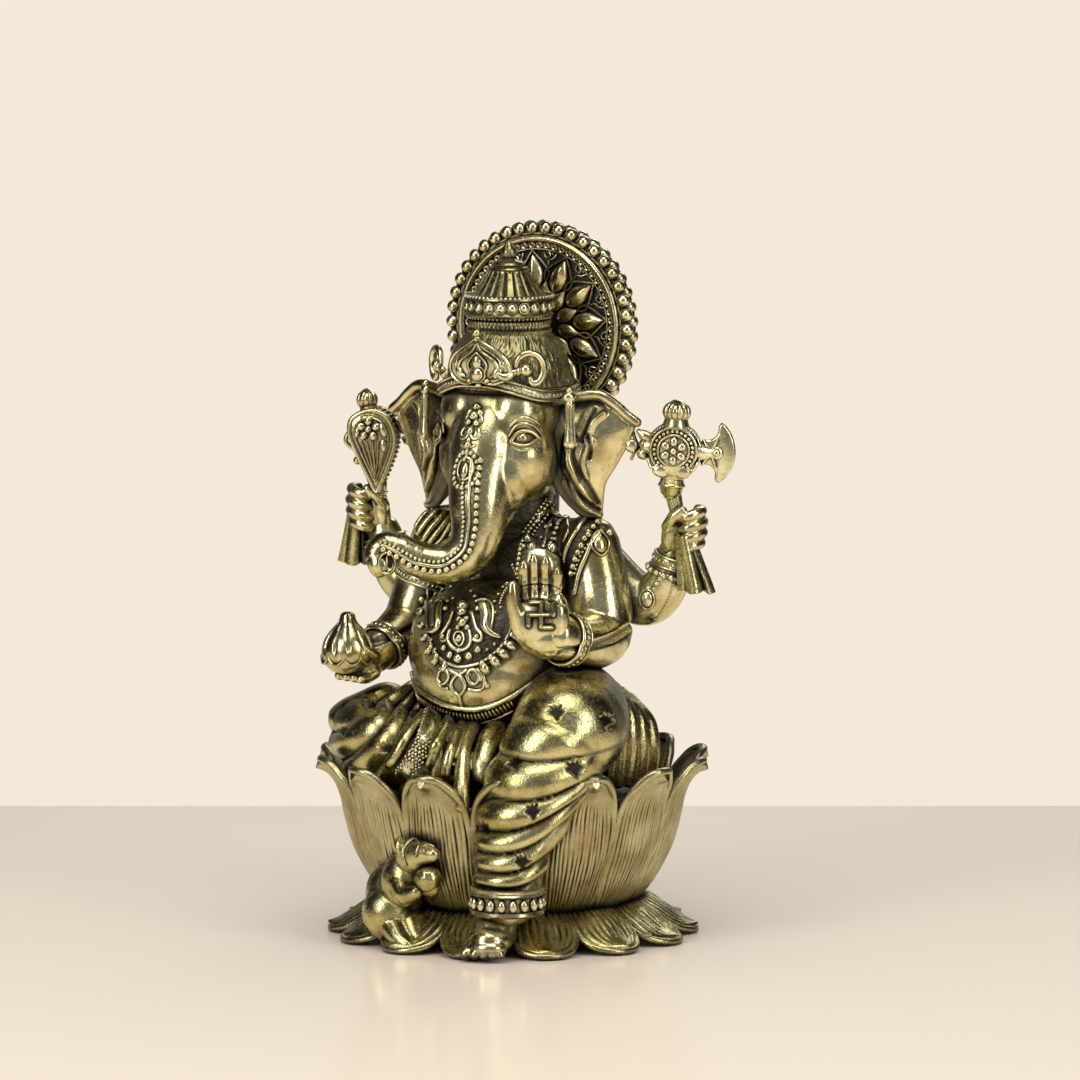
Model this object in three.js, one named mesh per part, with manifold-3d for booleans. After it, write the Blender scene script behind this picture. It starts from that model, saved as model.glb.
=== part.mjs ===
// An elephant-headed deity figurine of cast brass, seated on a lotus with a mouse at its foot.
// Millimetres, +Z up. The origin is the centre of the flat underside and the figure faces -Y,
// so its own left hand is on the +X side. Left and right in the names are the figure's own.
//
// Each casting is a closed body. Castings that were brazed together meet with a small gap:
// a casting later in the list is cut back by the ones before it that it touches.
import * as THREE from "three";
import { mergeVertices } from "three/addons/utils/BufferGeometryUtils.js";
import Module from "manifold-3d";

const wasm = await Module();
wasm.setup();

// ---------- driving dimensions ----------
const HEIGHT = 150; // underside to the top of the halo
const JOINT_GAP = 0.3; // clearance left at a brazed joint
const PETALS = 14; // in each of the two rows
const PETAL_STEP = (2 * Math.PI) / PETALS;
const FIRST_PETAL = 0.466; // angle of the first upper petal from -Y towards +X, in radians
const SEAT_Z = 32.5; // top of the lotus seat
const HALO_RADIUS = 22.3;
const HALO_Y = 11; // front face of the halo
const HALO_Z = HEIGHT - HALO_RADIUS;
const CROWN_Y = -1.8; // axis of the head, hair and crown
const HAND_TURN = 22; // degrees that the open palm is turned outward
const FINENESS = 0.09; // the faceting may stray this far from the cut shape

// ---------- materials ----------
const brass = new THREE.MeshStandardMaterial({ color: 0xb49a5c, roughness: 0.3, metalness: 1 });
const brassLotus = new THREE.MeshStandardMaterial({ color: 0xa89462, roughness: 0.4, metalness: 1 });
const brassCloth = new THREE.MeshStandardMaterial({ color: 0xae975a, roughness: 0.36, metalness: 1 });
const brassOrnament = new THREE.MeshStandardMaterial({ color: 0xbfa566, roughness: 0.3, metalness: 1 });

// ---------- solids from three.js geometry ----------
function solid(geometry) {
  geometry.deleteAttribute("normal");
  geometry.deleteAttribute("uv");
  const merged = mergeVertices(geometry, 1e-4);
  return new wasm.Manifold(
    new wasm.Mesh({
      numProp: 3,
      vertProperties: new Float32Array(merged.attributes.position.array),
      triVerts: new Uint32Array(merged.index.array),
    }),
  );
}

const join = (solids) => solids.reduce((sum, next) => sum.add(next));

// Moves every vertex of a geometry to the place that the function gives for it.
function warp(geometry, place) {
  const position = geometry.attributes.position;
  const from = new THREE.Vector3();
  for (let i = 0; i < position.count; i++) {
    const to = place(from.fromBufferAttribute(position, i));
    position.setXYZ(i, to.x, to.y, to.z);
  }
  return geometry;
}

function ellipsoid(centre, radii, grow, around = 12, down = 7) {
  const geometry = new THREE.SphereGeometry(1, around, down);
  geometry.rotateX(Math.PI / 2);
  geometry.scale(...radii.map((radius) => radius + grow));
  geometry.translate(...centre);
  return solid(geometry);
}

// A round, tapered limb with domed ends through the given centres.
const CAP_RINGS = 2;
const CAP_START = 0.45; // angle of the first ring of a domed end, in radians

function limb(centres, radii, grow, sides = 9, perSpan = 1) {
  const curve = new THREE.CatmullRomCurve3(centres.map((c) => new THREE.Vector3(...c)));
  const steps = perSpan * (centres.length - 1);
  const frames = curve.computeFrenetFrames(steps);
  const rings = steps + 2 * CAP_RINGS;
  const radiusAt = (share) => {
    const at = share * (radii.length - 1);
    const below = Math.min(Math.floor(at), radii.length - 2);
    return THREE.MathUtils.lerp(radii[below], radii[below + 1], at - below) + grow;
  };
  return solid(
    warp(new THREE.CylinderGeometry(1, 1, 1, sides, rings), (v) => {
      const ring = Math.round((v.y + 0.5) * rings);
      const step = THREE.MathUtils.clamp(ring - CAP_RINGS, 0, steps);
      const radius = radiusAt(step / steps);
      const past = ring - CAP_RINGS - step; // rings beyond either end, negative at the start
      const angle = THREE.MathUtils.lerp(Math.PI / 2, CAP_START, Math.abs(past) / CAP_RINGS);
      return curve
        .getPointAt(step / steps)
        .addScaledVector(frames.tangents[step], Math.sign(past) * radius * Math.cos(angle))
        .addScaledVector(frames.normals[step], -v.x * radius * Math.sin(angle))
        .addScaledVector(frames.binormals[step], v.z * radius * Math.sin(angle));
    }),
  );
}

// A turned shape about a vertical axis: profile points are [radius, height], from the axis to the axis.
function turned(profile, centre, segments = 16) {
  const geometry = new THREE.LatheGeometry(
    profile.map(([radius, height]) => new THREE.Vector2(radius, height)),
    segments,
  );
  geometry.rotateX(Math.PI / 2);
  geometry.translate(...centre);
  return solid(geometry);
}

// A flat outline in the X-Z plane, thickness centred on the given Y, turned about Z by an angle.
function plate(outline, thickness, centre, turn = 0) {
  const shape = new THREE.Shape(outline.map(([x, z]) => new THREE.Vector2(x, z)));
  const geometry = new THREE.ExtrudeGeometry(shape, { depth: thickness, bevelEnabled: false });
  geometry.translate(0, 0, -thickness / 2);
  geometry.rotateX(Math.PI / 2);
  geometry.rotateZ(turn);
  geometry.translate(...centre);
  return solid(geometry);
}

const mirrored = (points) => points.map(([x, y, z]) => [-x, y, z]);

// ---------- the figure ----------
const torso = (g) =>
  join([
    ellipsoid([0, 3, 46], [18, 14, 11.5], g),
    ellipsoid([0, -5, 61], [20, 19, 16], g, 16, 10),
    ellipsoid([0, 2, 77], [16.5, 11.5, 14], g),
    ellipsoid([13, 2.5, 82], [8, 7, 6.5], g, 9, 6),
    ellipsoid([-13, 2.5, 82], [8, 7, 6.5], g, 9, 6),
    ellipsoid([0, 0, 91], [9.5, 9, 8], g, 10, 6),
  ]);

const head = (g) =>
  join([
    ellipsoid([0, -1.5, 109], [13, 13, 13], g, 14, 9),
    ellipsoid([6.3, -6, 101], [6.6, 8.5, 9], g, 10, 7),
    ellipsoid([-6.3, -6, 101], [6.6, 8.5, 9], g, 10, 7),
    ellipsoid([0, -9, 102], [8, 9.5, 11], g, 10, 7),
  ]);

const TRUNK_LINE = [
  [0, -13, 100], [0, -16.6, 93.5], [0, -17.5, 87], [-1.5, -19, 82.5], [-5, -22, 80.4],
  [-9, -25, 81.5], [-12, -27, 83.8], [-15, -27.8, 84.6], [-16.4, -29, 82.4], [-14.2, -30.5, 80],
];
const TRUNK_RADII = [7.2, 5.8, 4.9, 4.5, 4.1, 3.8, 3.4, 3.1, 2.7, 2.3];
const trunk = (g) => limb(TRUNK_LINE, TRUNK_RADII, g, 9, 1);

// One ear, drawn for the left side about its root beside the temple.
const EAR_OUTLINE = [
  [-1, 8], [3, 11.5], [8, 12.4], [13, 9.5], [16.3, 4.5], [13.5, 1], [11.5, -4],
  [9.7, -10], [9.5, -15], [5, -12.5], [1, -7], [-1, 0],
];
const EAR_ROOT = [12, -3, 104.4];
const EAR_SWEEP = 0.3; // how far the ear turns back, in radians
const EAR_THICKNESS = 2.4;
const leftEar = (g) => plate(EAR_OUTLINE, EAR_THICKNESS + 2 * g, EAR_ROOT, EAR_SWEEP);
const rightEar = (g) =>
  plate(
    EAR_OUTLINE.map(([x, z]) => [-x, z]).reverse(),
    EAR_THICKNESS + 2 * g,
    [-EAR_ROOT[0], EAR_ROOT[1], EAR_ROOT[2]],
    -EAR_SWEEP,
  );

const hair = (g) => ellipsoid([0, CROWN_Y + 2, 120.5], [12.6, 11.8, 9.5], g, 14, 8);

const crown = (g) =>
  turned(
    [
      [0, 124], [7.6 + g, 124], [8.8 + g, 127.6], [9.6 + g, 130], [9.6 + g, 133.8], [8.4 + g, 135],
      [4 + g, 140], [4.2 + g, 141.3], [2.3 + g, 142], [2.9 + g, 143.8], [1.4 + g, 146], [0, 147 + g],
    ],
    [0, CROWN_Y, 0],
  );

// The band round the forehead with its pointed front plate.
const BAND_RADIUS = 14.3;
const BAND_THICKNESS = 2;
const BAND_Z = 116;
const frontPlateOutline = [
  [-3, -2.5], [-7, 1.2], [-6, 6], [-2.5, 10], [0, 14], [2.5, 10], [6, 6], [7, 1.2], [3, -2.5],
];
const headband = (g) =>
  join([
    turned(
      [
        [BAND_RADIUS - BAND_THICKNESS - g, BAND_Z - 1.7 - g],
        [BAND_RADIUS + g, BAND_Z - 1.7 - g],
        [BAND_RADIUS + g, BAND_Z + 1.7 + g],
        [BAND_RADIUS - BAND_THICKNESS - g, BAND_Z + 1.7 + g],
        [BAND_RADIUS - BAND_THICKNESS - g, BAND_Z - 1.7 - g],
      ],
      [0, CROWN_Y, 0],
      20,
    ),
    plate(frontPlateOutline, 2 + 2 * g, [0, CROWN_Y - BAND_RADIUS + 0.6, BAND_Z], 0),
  ]);

// ---------- the halo ----------
const HALO_RIM = 4.4; // radial width of the raised rim
const HALO_DEPTH = 4.6;
const faceForward = (made) => made.rotate([90, 0, 0]).translate([0, HALO_Y, HALO_Z]);

// Made about +Z and stood up, so that depth runs from the front face (0) to the back (-HALO_DEPTH).
const haloPlate = (g) =>
  faceForward(
    turned(
      [
        [0, -HALO_DEPTH + 0.6 - g], [HALO_RADIUS - HALO_RIM + g, -HALO_DEPTH + 0.6 - g],
        [HALO_RADIUS - HALO_RIM + g, -1.4 + g], [0, -1.4 + g],
      ],
      [0, 0, 0],
      24,
    ),
  );
const haloRim = (g) =>
  faceForward(
    turned(
      [
        [HALO_RADIUS - HALO_RIM, -HALO_DEPTH - g], [HALO_RADIUS + g, -HALO_DEPTH - g],
        [HALO_RADIUS + g, -0.8 + g], [HALO_RADIUS - 2.4, 0 + g],
        [HALO_RADIUS - HALO_RIM, 0 + g], [HALO_RADIUS - HALO_RIM, -HALO_DEPTH - g],
      ],
      [0, 0, 0],
      24,
    ),
  );
const haloStem = (g) => limb([[0, 12.2, 84], [0, 13.4, 95], [0, 13.6, 106]], [4, 3.6, 3], g, 8);

// ---------- the legs ----------
const leftThigh = (g) => limb([[13, 1, 47], [20.5, -10, 47.5], [27.4, -19.2, 47]], [12.5, 13.2, 13.3], g, 12, 2);
const leftShin = (g) =>
  limb([[25.6, -23.6, 42], [19, -28.6, 33], [16.6, -30.2, 23], [15.1, -31, 16]], [12, 10.6, 8.4, 6.8], g, 12);
const folded = (g) =>
  join([
    limb([[-12, 0, 46.5], [-21, -8, 46], [-27.5, -12, 45.5]], [11.5, 10, 8.4], g, 10),
    limb([[-27, -14, 42.5], [-17, -21.5, 42.5], [-5, -27, 42]], [7.6, 8, 7], g, 9),
  ]);
const ANKLE = [15.3, -31.2];
const anklet = (g) =>
  turned(
    [
      [4.6 - g, 9.4 - g], [7 + g, 9.4 - g], [8 + g, 12.4], [7.2 + g, 15.2 + g], [4.6 - g, 15.2 + g],
      [4.6 - g, 9.4 - g],
    ],
    [...ANKLE, 0],
    16,
  );
const foot = (g) => limb([[15.2, -31.5, 9], [14.4, -34, 5.9], [12.8, -38.6, 4.4]], [4.2, 5.7, 4.3], g, 10);
const frontSash = (g) =>
  join([
    limb([[0.5, -27, 50.5], [1.5, -33, 46], [4.2, -37.5, 38], [6.6, -38.7, 31.5]], [2, 2.6, 2.6, 2.4], g, 6),
    limb([[-2, -27, 49.5], [-2.5, -33, 45.5], [-1, -37, 39.5]], [2, 2.6, 2.2], g, 6),
    limb([[-5, -26.5, 49], [-7.5, -32, 45.5], [-8, -35.5, 40.5]], [2, 2.6, 2.4], g, 6),
  ]);

// ---------- the four arms ----------
// The back arms are drawn for the left side; the right one is its mirror image.
const BACK_ARM = [[16, 5, 80], [22, 7, 74], [27.2, 7, 70], [31, 7.2, 75], [34.3, 7.2, 81]];
const BACK_ARM_RADII = [6, 5.4, 5.5, 4.8, 3.9];
const backArm = (line) => (g) => limb(line, BACK_ARM_RADII, g, 9);
const BACK_HAND = [[35.2, 7, 84], [36.4, 6.6, 88], [38.2, 5.4, 91.5]];
const backHand = (line) => (g) => limb(line, [3.6, 4.7, 3.6], g, 8);

const leftArm = (g) =>
  limb([[18.5, 0, 81.5], [21, -0.5, 73], [22.6, -3.5, 65.5], [22, -11, 64.5], [21.6, -17.5, 66]],
    [7, 6, 6, 5.6, 5], g);
const blessingHand = (g) =>
  join([
    ellipsoid([0, 0, -4.2], [7.2, 3.5, 7], g, 10, 7),
    ellipsoid([0.2, -0.8, 4], [6.6, 2.7, 7], g, 10, 7),
  ])
    .rotate([0, 0, HAND_TURN])
    .translate([18.2, -22.4, 73]);
const rightArm = (g) =>
  limb([[-18.5, 0, 81.5], [-21.5, 0, 73], [-23, -2.5, 66], [-24.2, -7.5, 62.4], [-25.4, -12, 60]],
    [7, 6, 5.7, 5.2, 4.6], g);
const offeringHand = (g) => ellipsoid([-27, -17.2, 56.6], [4.6, 5.4, 3.2], g, 10, 6);
const sweet = (g) =>
  turned(
    [
      [0, 56], [3.4 + g, 56 - g], [5.1 + g, 59], [4.3 + g, 62.6], [1.9 + g, 65.6], [1.8 + g, 67.6],
      [0, 68.4 + g],
    ],
    [-28.3, -20.5, 0],
    12,
  );

// ---------- what the back hands hold ----------
const BLADE_OUTLINE = [
  [4.5, 1.8], [7, 2.6], [9.2, 6.6], [11.6, 4.4], [12.9, 0], [11.6, -4.4], [8.8, -6.4], [7, -2.6], [4.5, -1.8],
];
const AXE = [36, 4, 104];
const axe = (g) =>
  join([
    ellipsoid(AXE, [6, 3.6, 6.2], g, 12, 7),
    ellipsoid([AXE[0], AXE[1], AXE[2] + 8], [3.1, 3.1, 2.9], g, 8, 6),
    limb([[AXE[0] - 0.6, AXE[1], 99.5], [AXE[0] + 0.5, AXE[1] + 0.6, 94], [37.5, 5.4, 88]], [3.2, 1.9, 1.7], g, 8),
    plate(BLADE_OUTLINE, 1.8 + 2 * g, AXE, 0),
  ]);
const GOAD_OUTLINE = [
  [-5.4, 3], [-4.4, 6.4], [-1, 8], [3.2, 7], [5.4, 4], [5.4, 0], [4.3, -4], [1.4, -9], [-0.4, -9], [-4.5, -2],
];
const GOAD = [-35.5, 4, 103];
const goad = (g) =>
  join([
    plate(GOAD_OUTLINE, 6 + 2 * g, GOAD, 0),
    ellipsoid([GOAD[0] - 2.4, GOAD[1], GOAD[2] + 9], [3, 3, 2.8], g, 8, 6),
    limb([[GOAD[0] + 0.4, GOAD[1] + 0.2, 95.5], [-36.8, 5, 88]], [2, 1.7], g, 8),
  ]);
const TAIL_OUTLINE = [[-1.6, 4.4], [1.6, 4.4], [3, -2], [3.6, -8.4], [-2.6, -8.4], [-1.6, -2]];
const leftTail = (g) => plate(TAIL_OUTLINE, 2.6 + 2 * g, [40.2, 4.6, 83.6], 0);
const rightTail = (g) =>
  plate(TAIL_OUTLINE.map(([x, z]) => [-x, z]).reverse(), 2.6 + 2 * g, [-40, 4.6, 83.6], 0);

// ---------- the mouse ----------
const mouse = (g) =>
  join([
    ellipsoid([-13.6, -28.5, 9.2], [5.6, 5.4, 8], g, 10, 7),
    ellipsoid([-12.6, -32.4, 6.2], [3.8, 3.6, 4.4], g, 8, 6),
    ellipsoid([-8.4, -30.5, 16.8], [3.9, 3.7, 4], g, 8, 6),
    ellipsoid([-9.8, -29.8, 21.4], [2.4, 1.4, 2.7], g, 7, 5),
    ellipsoid([-5.6, -29.8, 20.8], [2.2, 1.4, 2], g, 7, 5),
    ellipsoid([-4, -32, 15], [2.8, 2.6, 2.8], g, 8, 5),
    limb([[-9.5, -31, 11.5], [-6, -32.5, 12.6]], [2.4, 2], g, 6),
    limb([[-12.4, -35.5, 2.4], [-9, -37.3, 2]], [1.8, 1.5], g, 6),
  ]);

// ---------- the lotus ----------
const seat = (g) =>
  turned(
    [
      [0, -g], [24 + g, -g], [24 + g, 2.4], [20.2 + g, 7.4], [20.2 + g, 9.8], [24 + g, 14.6],
      [28 + g, 22], [29 + g, 29.4], [19, SEAT_Z + g], [0, SEAT_Z + 0.6 + g],
    ],
    [0, 0, 0],
    24,
  );

// A petal is a thin sheet bent to a profile of [radius, height] and to a width along its length.
function petal(profile, widths, thickness, cup, angle, across, along) {
  const line = new THREE.CatmullRomCurve3(profile.map(([r, z]) => new THREE.Vector3(r, 0, z)));
  const width = new THREE.SplineCurve(widths.map(([v, w]) => new THREE.Vector2(v, w)));
  return solid(
    warp(new THREE.BoxGeometry(2, 1, 1, across, along, 1), ({ x, y, z }) => {
      const v = y + 0.5;
      const at = line.getPoint(v);
      const tangent = line.getTangent(v);
      const share = width.getPoint(v).y * x;
      const radius = at.x - cup * share * share - tangent.z * (0.5 - z) * thickness;
      const height = at.z + tangent.x * (0.5 - z) * thickness;
      const turn = angle + share * (PETAL_STEP / 2);
      return new THREE.Vector3(radius * Math.sin(turn), -radius * Math.cos(turn), height);
    }),
  );
}

const UPPER_PROFILE = [
  [25.2, 8.6], [28, 11.4], [30.4, 14.8], [33, 20], [34.8, 25.6], [36, 29.4], [38, 33.6], [41.4, 37.4],
];
const UPPER_WIDTHS = [[0, 0.82], [0.2, 0.92], [0.5, 0.96], [0.72, 0.94], [0.88, 0.7], [1, 0.14]];
const LOWER_PROFILE = [[25, 6.3], [29.4, 5.1], [33, 3.1], [36, 1.5], [38.6, 1]];
const LOWER_WIDTHS = [[0, 0.84], [0.3, 0.95], [0.6, 0.9], [0.85, 0.64], [1, 0.24]];
const upperPetal = (angle) => petal(UPPER_PROFILE, UPPER_WIDTHS, 2, 2.4, angle, 4, 5);
const lowerPetal = (angle) => petal(LOWER_PROFILE, LOWER_WIDTHS, 1.7, 0.8, angle, 4, 3);

// ---------- the list of castings ----------
const castings = [
  ["torso", torso, brass],
  ["head", head, brass],
  ["trunk", trunk, brass],
  ["headband", headband, brassOrnament],
  ["hair", hair, brass],
  ["crown", crown, brassOrnament],
  ["left_ear", leftEar, brass],
  ["right_ear", rightEar, brass],
  ["halo_rim", haloRim, brassOrnament],
  ["halo_plate", haloPlate, brassOrnament],
  ["halo_stem", haloStem, brassOrnament],
  ["left_arm", leftArm, brass],
  ["blessing_hand", blessingHand, brass],
  ["right_arm", rightArm, brass],
  ["offered_sweet", sweet, brass],
  ["offering_hand", offeringHand, brass],
  ["back_left_arm", backArm(BACK_ARM), brass],
  ["back_right_arm", backArm(mirrored(BACK_ARM)), brass],
  ["axe", axe, brassOrnament],
  ["goad", goad, brassOrnament],
  ["back_left_hand", backHand(BACK_HAND), brass],
  ["back_right_hand", backHand(mirrored(BACK_HAND)), brass],
  ["left_scarf_tail", leftTail, brassCloth],
  ["right_scarf_tail", rightTail, brassCloth],
  ["left_thigh", leftThigh, brassCloth],
  ["left_shin", leftShin, brassCloth],
  ["folded_leg", folded, brassCloth],
  ["front_sash", frontSash, brassCloth],
  ["anklet", anklet, brassOrnament],
  ["left_foot", foot, brass],
  ["mouse", mouse, brass],
  ["lotus_seat", seat, brassLotus],
];
for (let i = 0; i < PETALS; i++) {
  const number = String(i + 1).padStart(2, "0");
  const upper = FIRST_PETAL + i * PETAL_STEP;
  const lower = upper + PETAL_STEP / 2;
  castings.push(["upper_petal_" + number, () => upperPetal(upper), brassLotus]);
  castings.push(["lower_petal_" + number, () => lowerPetal(lower), brassLotus]);
}

const largest = (made) =>
  made.decompose().reduce((best, body) => (body.volume() > best.volume() ? body : best));

function touches(a, b) {
  const [boxA, boxB] = [a.boundingBox(), b.boundingBox()];
  return [0, 1, 2].every((k) => boxA.min[k] < boxB.max[k] && boxB.min[k] < boxA.max[k]);
}

const figurine = new THREE.Group();
const grown = [];
for (const [name, build, material] of castings) {
  let made = build(0);
  for (const before of grown) if (touches(made, before)) made = made.subtract(before);
  made = largest(largest(made).simplify(FINENESS));
  if (!name.includes("_petal_")) grown.push(build(JOINT_GAP));
  const { vertProperties, triVerts } = made.getMesh();
  const geometry = new THREE.BufferGeometry();
  geometry.setAttribute("position", new THREE.BufferAttribute(new Float32Array(vertProperties), 3));
  geometry.setIndex(new THREE.BufferAttribute(new Uint32Array(triVerts), 1));
  const mesh = new THREE.Mesh(geometry, material);
  mesh.name = name;
  figurine.add(mesh);
}

export default figurine;
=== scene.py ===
# %% [markdown]
# # A seated elephant-headed deity in antique brass
# The figurine is 150 mm tall and stands on a lotus. The real one is a set of brass castings,
# brazed together, dipped in a dark patina and rubbed back, so that what stands proud is bright
# and what lies deep is black. The design already fixes the size and place of each casting. Here
# each plain casting gets its true surface: folds, beads, curls, veins and chased lines.
# Everything is modelled in millimetres on the bench, and turned to metres when it is finished.

# %% Load the frame
import math

import bpy
import numpy as np
from mathutils import Matrix, Vector
from mathutils.bvhtree import BVHTree


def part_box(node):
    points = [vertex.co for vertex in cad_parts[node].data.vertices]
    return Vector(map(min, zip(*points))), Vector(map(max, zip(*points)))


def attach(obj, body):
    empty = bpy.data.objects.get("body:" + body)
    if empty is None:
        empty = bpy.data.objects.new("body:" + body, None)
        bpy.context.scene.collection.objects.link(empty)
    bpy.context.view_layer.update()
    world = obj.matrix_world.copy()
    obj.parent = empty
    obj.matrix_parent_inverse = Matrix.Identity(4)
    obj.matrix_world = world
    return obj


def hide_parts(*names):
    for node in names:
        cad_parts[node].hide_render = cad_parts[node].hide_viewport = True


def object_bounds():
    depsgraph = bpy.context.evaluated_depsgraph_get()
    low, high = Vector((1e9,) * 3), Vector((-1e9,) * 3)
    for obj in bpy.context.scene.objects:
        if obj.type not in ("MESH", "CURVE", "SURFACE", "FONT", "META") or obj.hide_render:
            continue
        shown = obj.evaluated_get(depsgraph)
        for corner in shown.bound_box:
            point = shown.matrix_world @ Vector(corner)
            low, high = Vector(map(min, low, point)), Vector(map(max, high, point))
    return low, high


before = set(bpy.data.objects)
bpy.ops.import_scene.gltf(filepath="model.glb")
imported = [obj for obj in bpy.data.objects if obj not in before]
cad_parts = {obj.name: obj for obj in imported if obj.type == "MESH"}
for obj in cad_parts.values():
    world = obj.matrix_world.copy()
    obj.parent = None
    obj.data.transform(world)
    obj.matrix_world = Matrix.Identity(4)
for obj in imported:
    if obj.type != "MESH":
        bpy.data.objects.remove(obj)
cad_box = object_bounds()
MM = 0.001
box_mm = [[round(x / MM, 1) for x in corner] for corner in cad_box]
print("castings in the frame:", len(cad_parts), "box in mm:", box_mm)


def casting_box(name):
    """The lowest corner, the highest corner and the middle of a plain casting, in millimetres."""
    low, high = (np.array(corner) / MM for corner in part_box(name))
    return low, high, (low + high) / 2


# %% [markdown]
# The figurine is shown turned: the eye stands to its left of centre and a little above it.
# Several ornaments are easiest to place as a jeweller marks them out, by looking from that side:
# so many millimetres right of and above the middle of the base. These three directions give that
# view, and the camera later stands along the same line.

# %% The show side
SHOW_TURN = math.radians(28)
SHOW_RISE = math.radians(7)
RIGHTWARD = np.array([math.cos(SHOW_TURN), math.sin(SHOW_TURN), 0])
UPWARD = np.array([
    -math.sin(SHOW_TURN) * math.sin(SHOW_RISE),
    math.cos(SHOW_TURN) * math.sin(SHOW_RISE),
    math.cos(SHOW_RISE),
])
TOWARD_EYE = np.cross(RIGHTWARD, UPWARD)
print("towards the eye:", TOWARD_EYE.round(3))

# %% [markdown]
# ## Bench tools
# A few helpers stand for what hands do again and again: set down a ball, draw a bar along a
# smooth line, melt overlapping lumps into one skin, and push that skin about. Melting is a voxel
# remesh followed by smoothing, which gives the soft inner corners that wax has before casting.

# %% Picking up and setting down
def take(*parts):
    """Only these parts are selected, and the first one is active."""
    bpy.ops.object.select_all(action="DESELECT")
    for part in parts:
        part.select_set(True)
    bpy.context.view_layer.objects.active = parts[0]
    return parts[0]


def ball(centre, radii, turn=(0, 0, 0), around=28, down=18):
    """A ball or egg with its own radius along each axis, turned by degrees about X, Y and Z."""
    bpy.ops.object.select_all(action="DESELECT")
    bpy.ops.mesh.primitive_uv_sphere_add(segments=around, ring_count=down, radius=1)
    made = bpy.context.object
    made.scale = radii
    made.rotation_euler = [math.radians(angle) for angle in turn]
    made.location = centre
    bpy.ops.object.transform_apply(location=True, rotation=True, scale=True)
    return made


def joined(parts):
    take(*parts)
    if len(parts) > 1:
        bpy.ops.object.join()
    return bpy.context.object


def apply_modifier(made, kind, **settings):
    take(made)
    modifier = made.modifiers.new("tool", kind)
    for key, value in settings.items():
        setattr(modifier, key, value)
    bpy.ops.object.modifier_apply(modifier=modifier.name)
    return made


def melt(parts, voxel, smoothing=4):
    """Overlapping closed parts become one skin with soft inner corners."""
    made = joined(parts)
    apply_modifier(made, "REMESH", mode="VOXEL", voxel_size=voxel)
    if smoothing:
        apply_modifier(made, "SMOOTH", factor=0.5, iterations=smoothing)
    return made


# %% [markdown]
# A bar is a section carried along a line. The line is a Catmull-Rom curve through a few points,
# walked in even steps, and any further column, such as the radius, is carried along with it.
# Curve objects can do this too, but here the section must also lie flat on a skin, so the ring of
# points is placed directly: width across the skin, height along its normal, with domed ends.

# %% Lines and bars
FACING = SKYWARD = (0, 0, 1.0)  # out of the bench for a flat ornament, and up for the figurine
ODD_WAY = (0.3, 0.9, 0.2)  # along none of the axes, so never along a bar
FULL_TURN = 2 * math.pi


def circle(across, up, count, height=0.0):
    """Points round a circle or an oval that lies flat, starting at its right."""
    turns = np.arange(count) * FULL_TURN / count
    return np.column_stack([across * np.cos(turns), up * np.sin(turns), turns * 0 + height])


def smooth_path(points, step=0.5, closed=False):
    p = np.array(points, float)
    before, after = ([p[-1]], [p[0], p[1]]) if closed else ([2 * p[0] - p[1]], [2 * p[-1] - p[-2]])
    p = np.vstack([before, p, after])
    t = np.linspace(0, 1, 12, endpoint=False)[:, None]
    spans = [
        0.5 * (2 * b + (c - a) * t + (2 * a - 5 * b + 4 * c - d) * t**2 + (3 * b - a - 3 * c + d) * t**3)
        for a, b, c, d in zip(p[:-3], p[1:-2], p[2:-1], p[3:])
    ]
    fine = np.vstack(spans + [p[-2][None]])
    walked = np.concatenate([[0], np.cumsum(np.linalg.norm(np.diff(fine[:, :3], axis=0), axis=1))])
    at = np.linspace(0, walked[-1], max(4, int(round(walked[-1] / step)) + 1))
    path = np.column_stack([np.interp(at, walked, column) for column in fine.T])
    return path[:-1] if closed else path


def unit(vectors):
    vectors = np.asarray(vectors, float)
    return vectors / np.maximum(np.linalg.norm(vectors, axis=-1, keepdims=True), 1e-9)


def mesh_object(vertices, faces):
    mesh = bpy.data.meshes.new("part")
    mesh.from_pydata([tuple(v) for v in vertices], [], faces)
    made = bpy.data.objects.new("part", mesh)
    bpy.context.collection.objects.link(made)
    return made


def carried_normals(tangents):
    """A normal carried along a line with no twist."""
    normals = [unit(np.cross(tangents[0], ODD_WAY))]
    for tangent in tangents[1:]:
        normal = normals[-1] - tangent * np.dot(normals[-1], tangent)
        normals.append(unit(normal))
    return np.array(normals)


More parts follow.
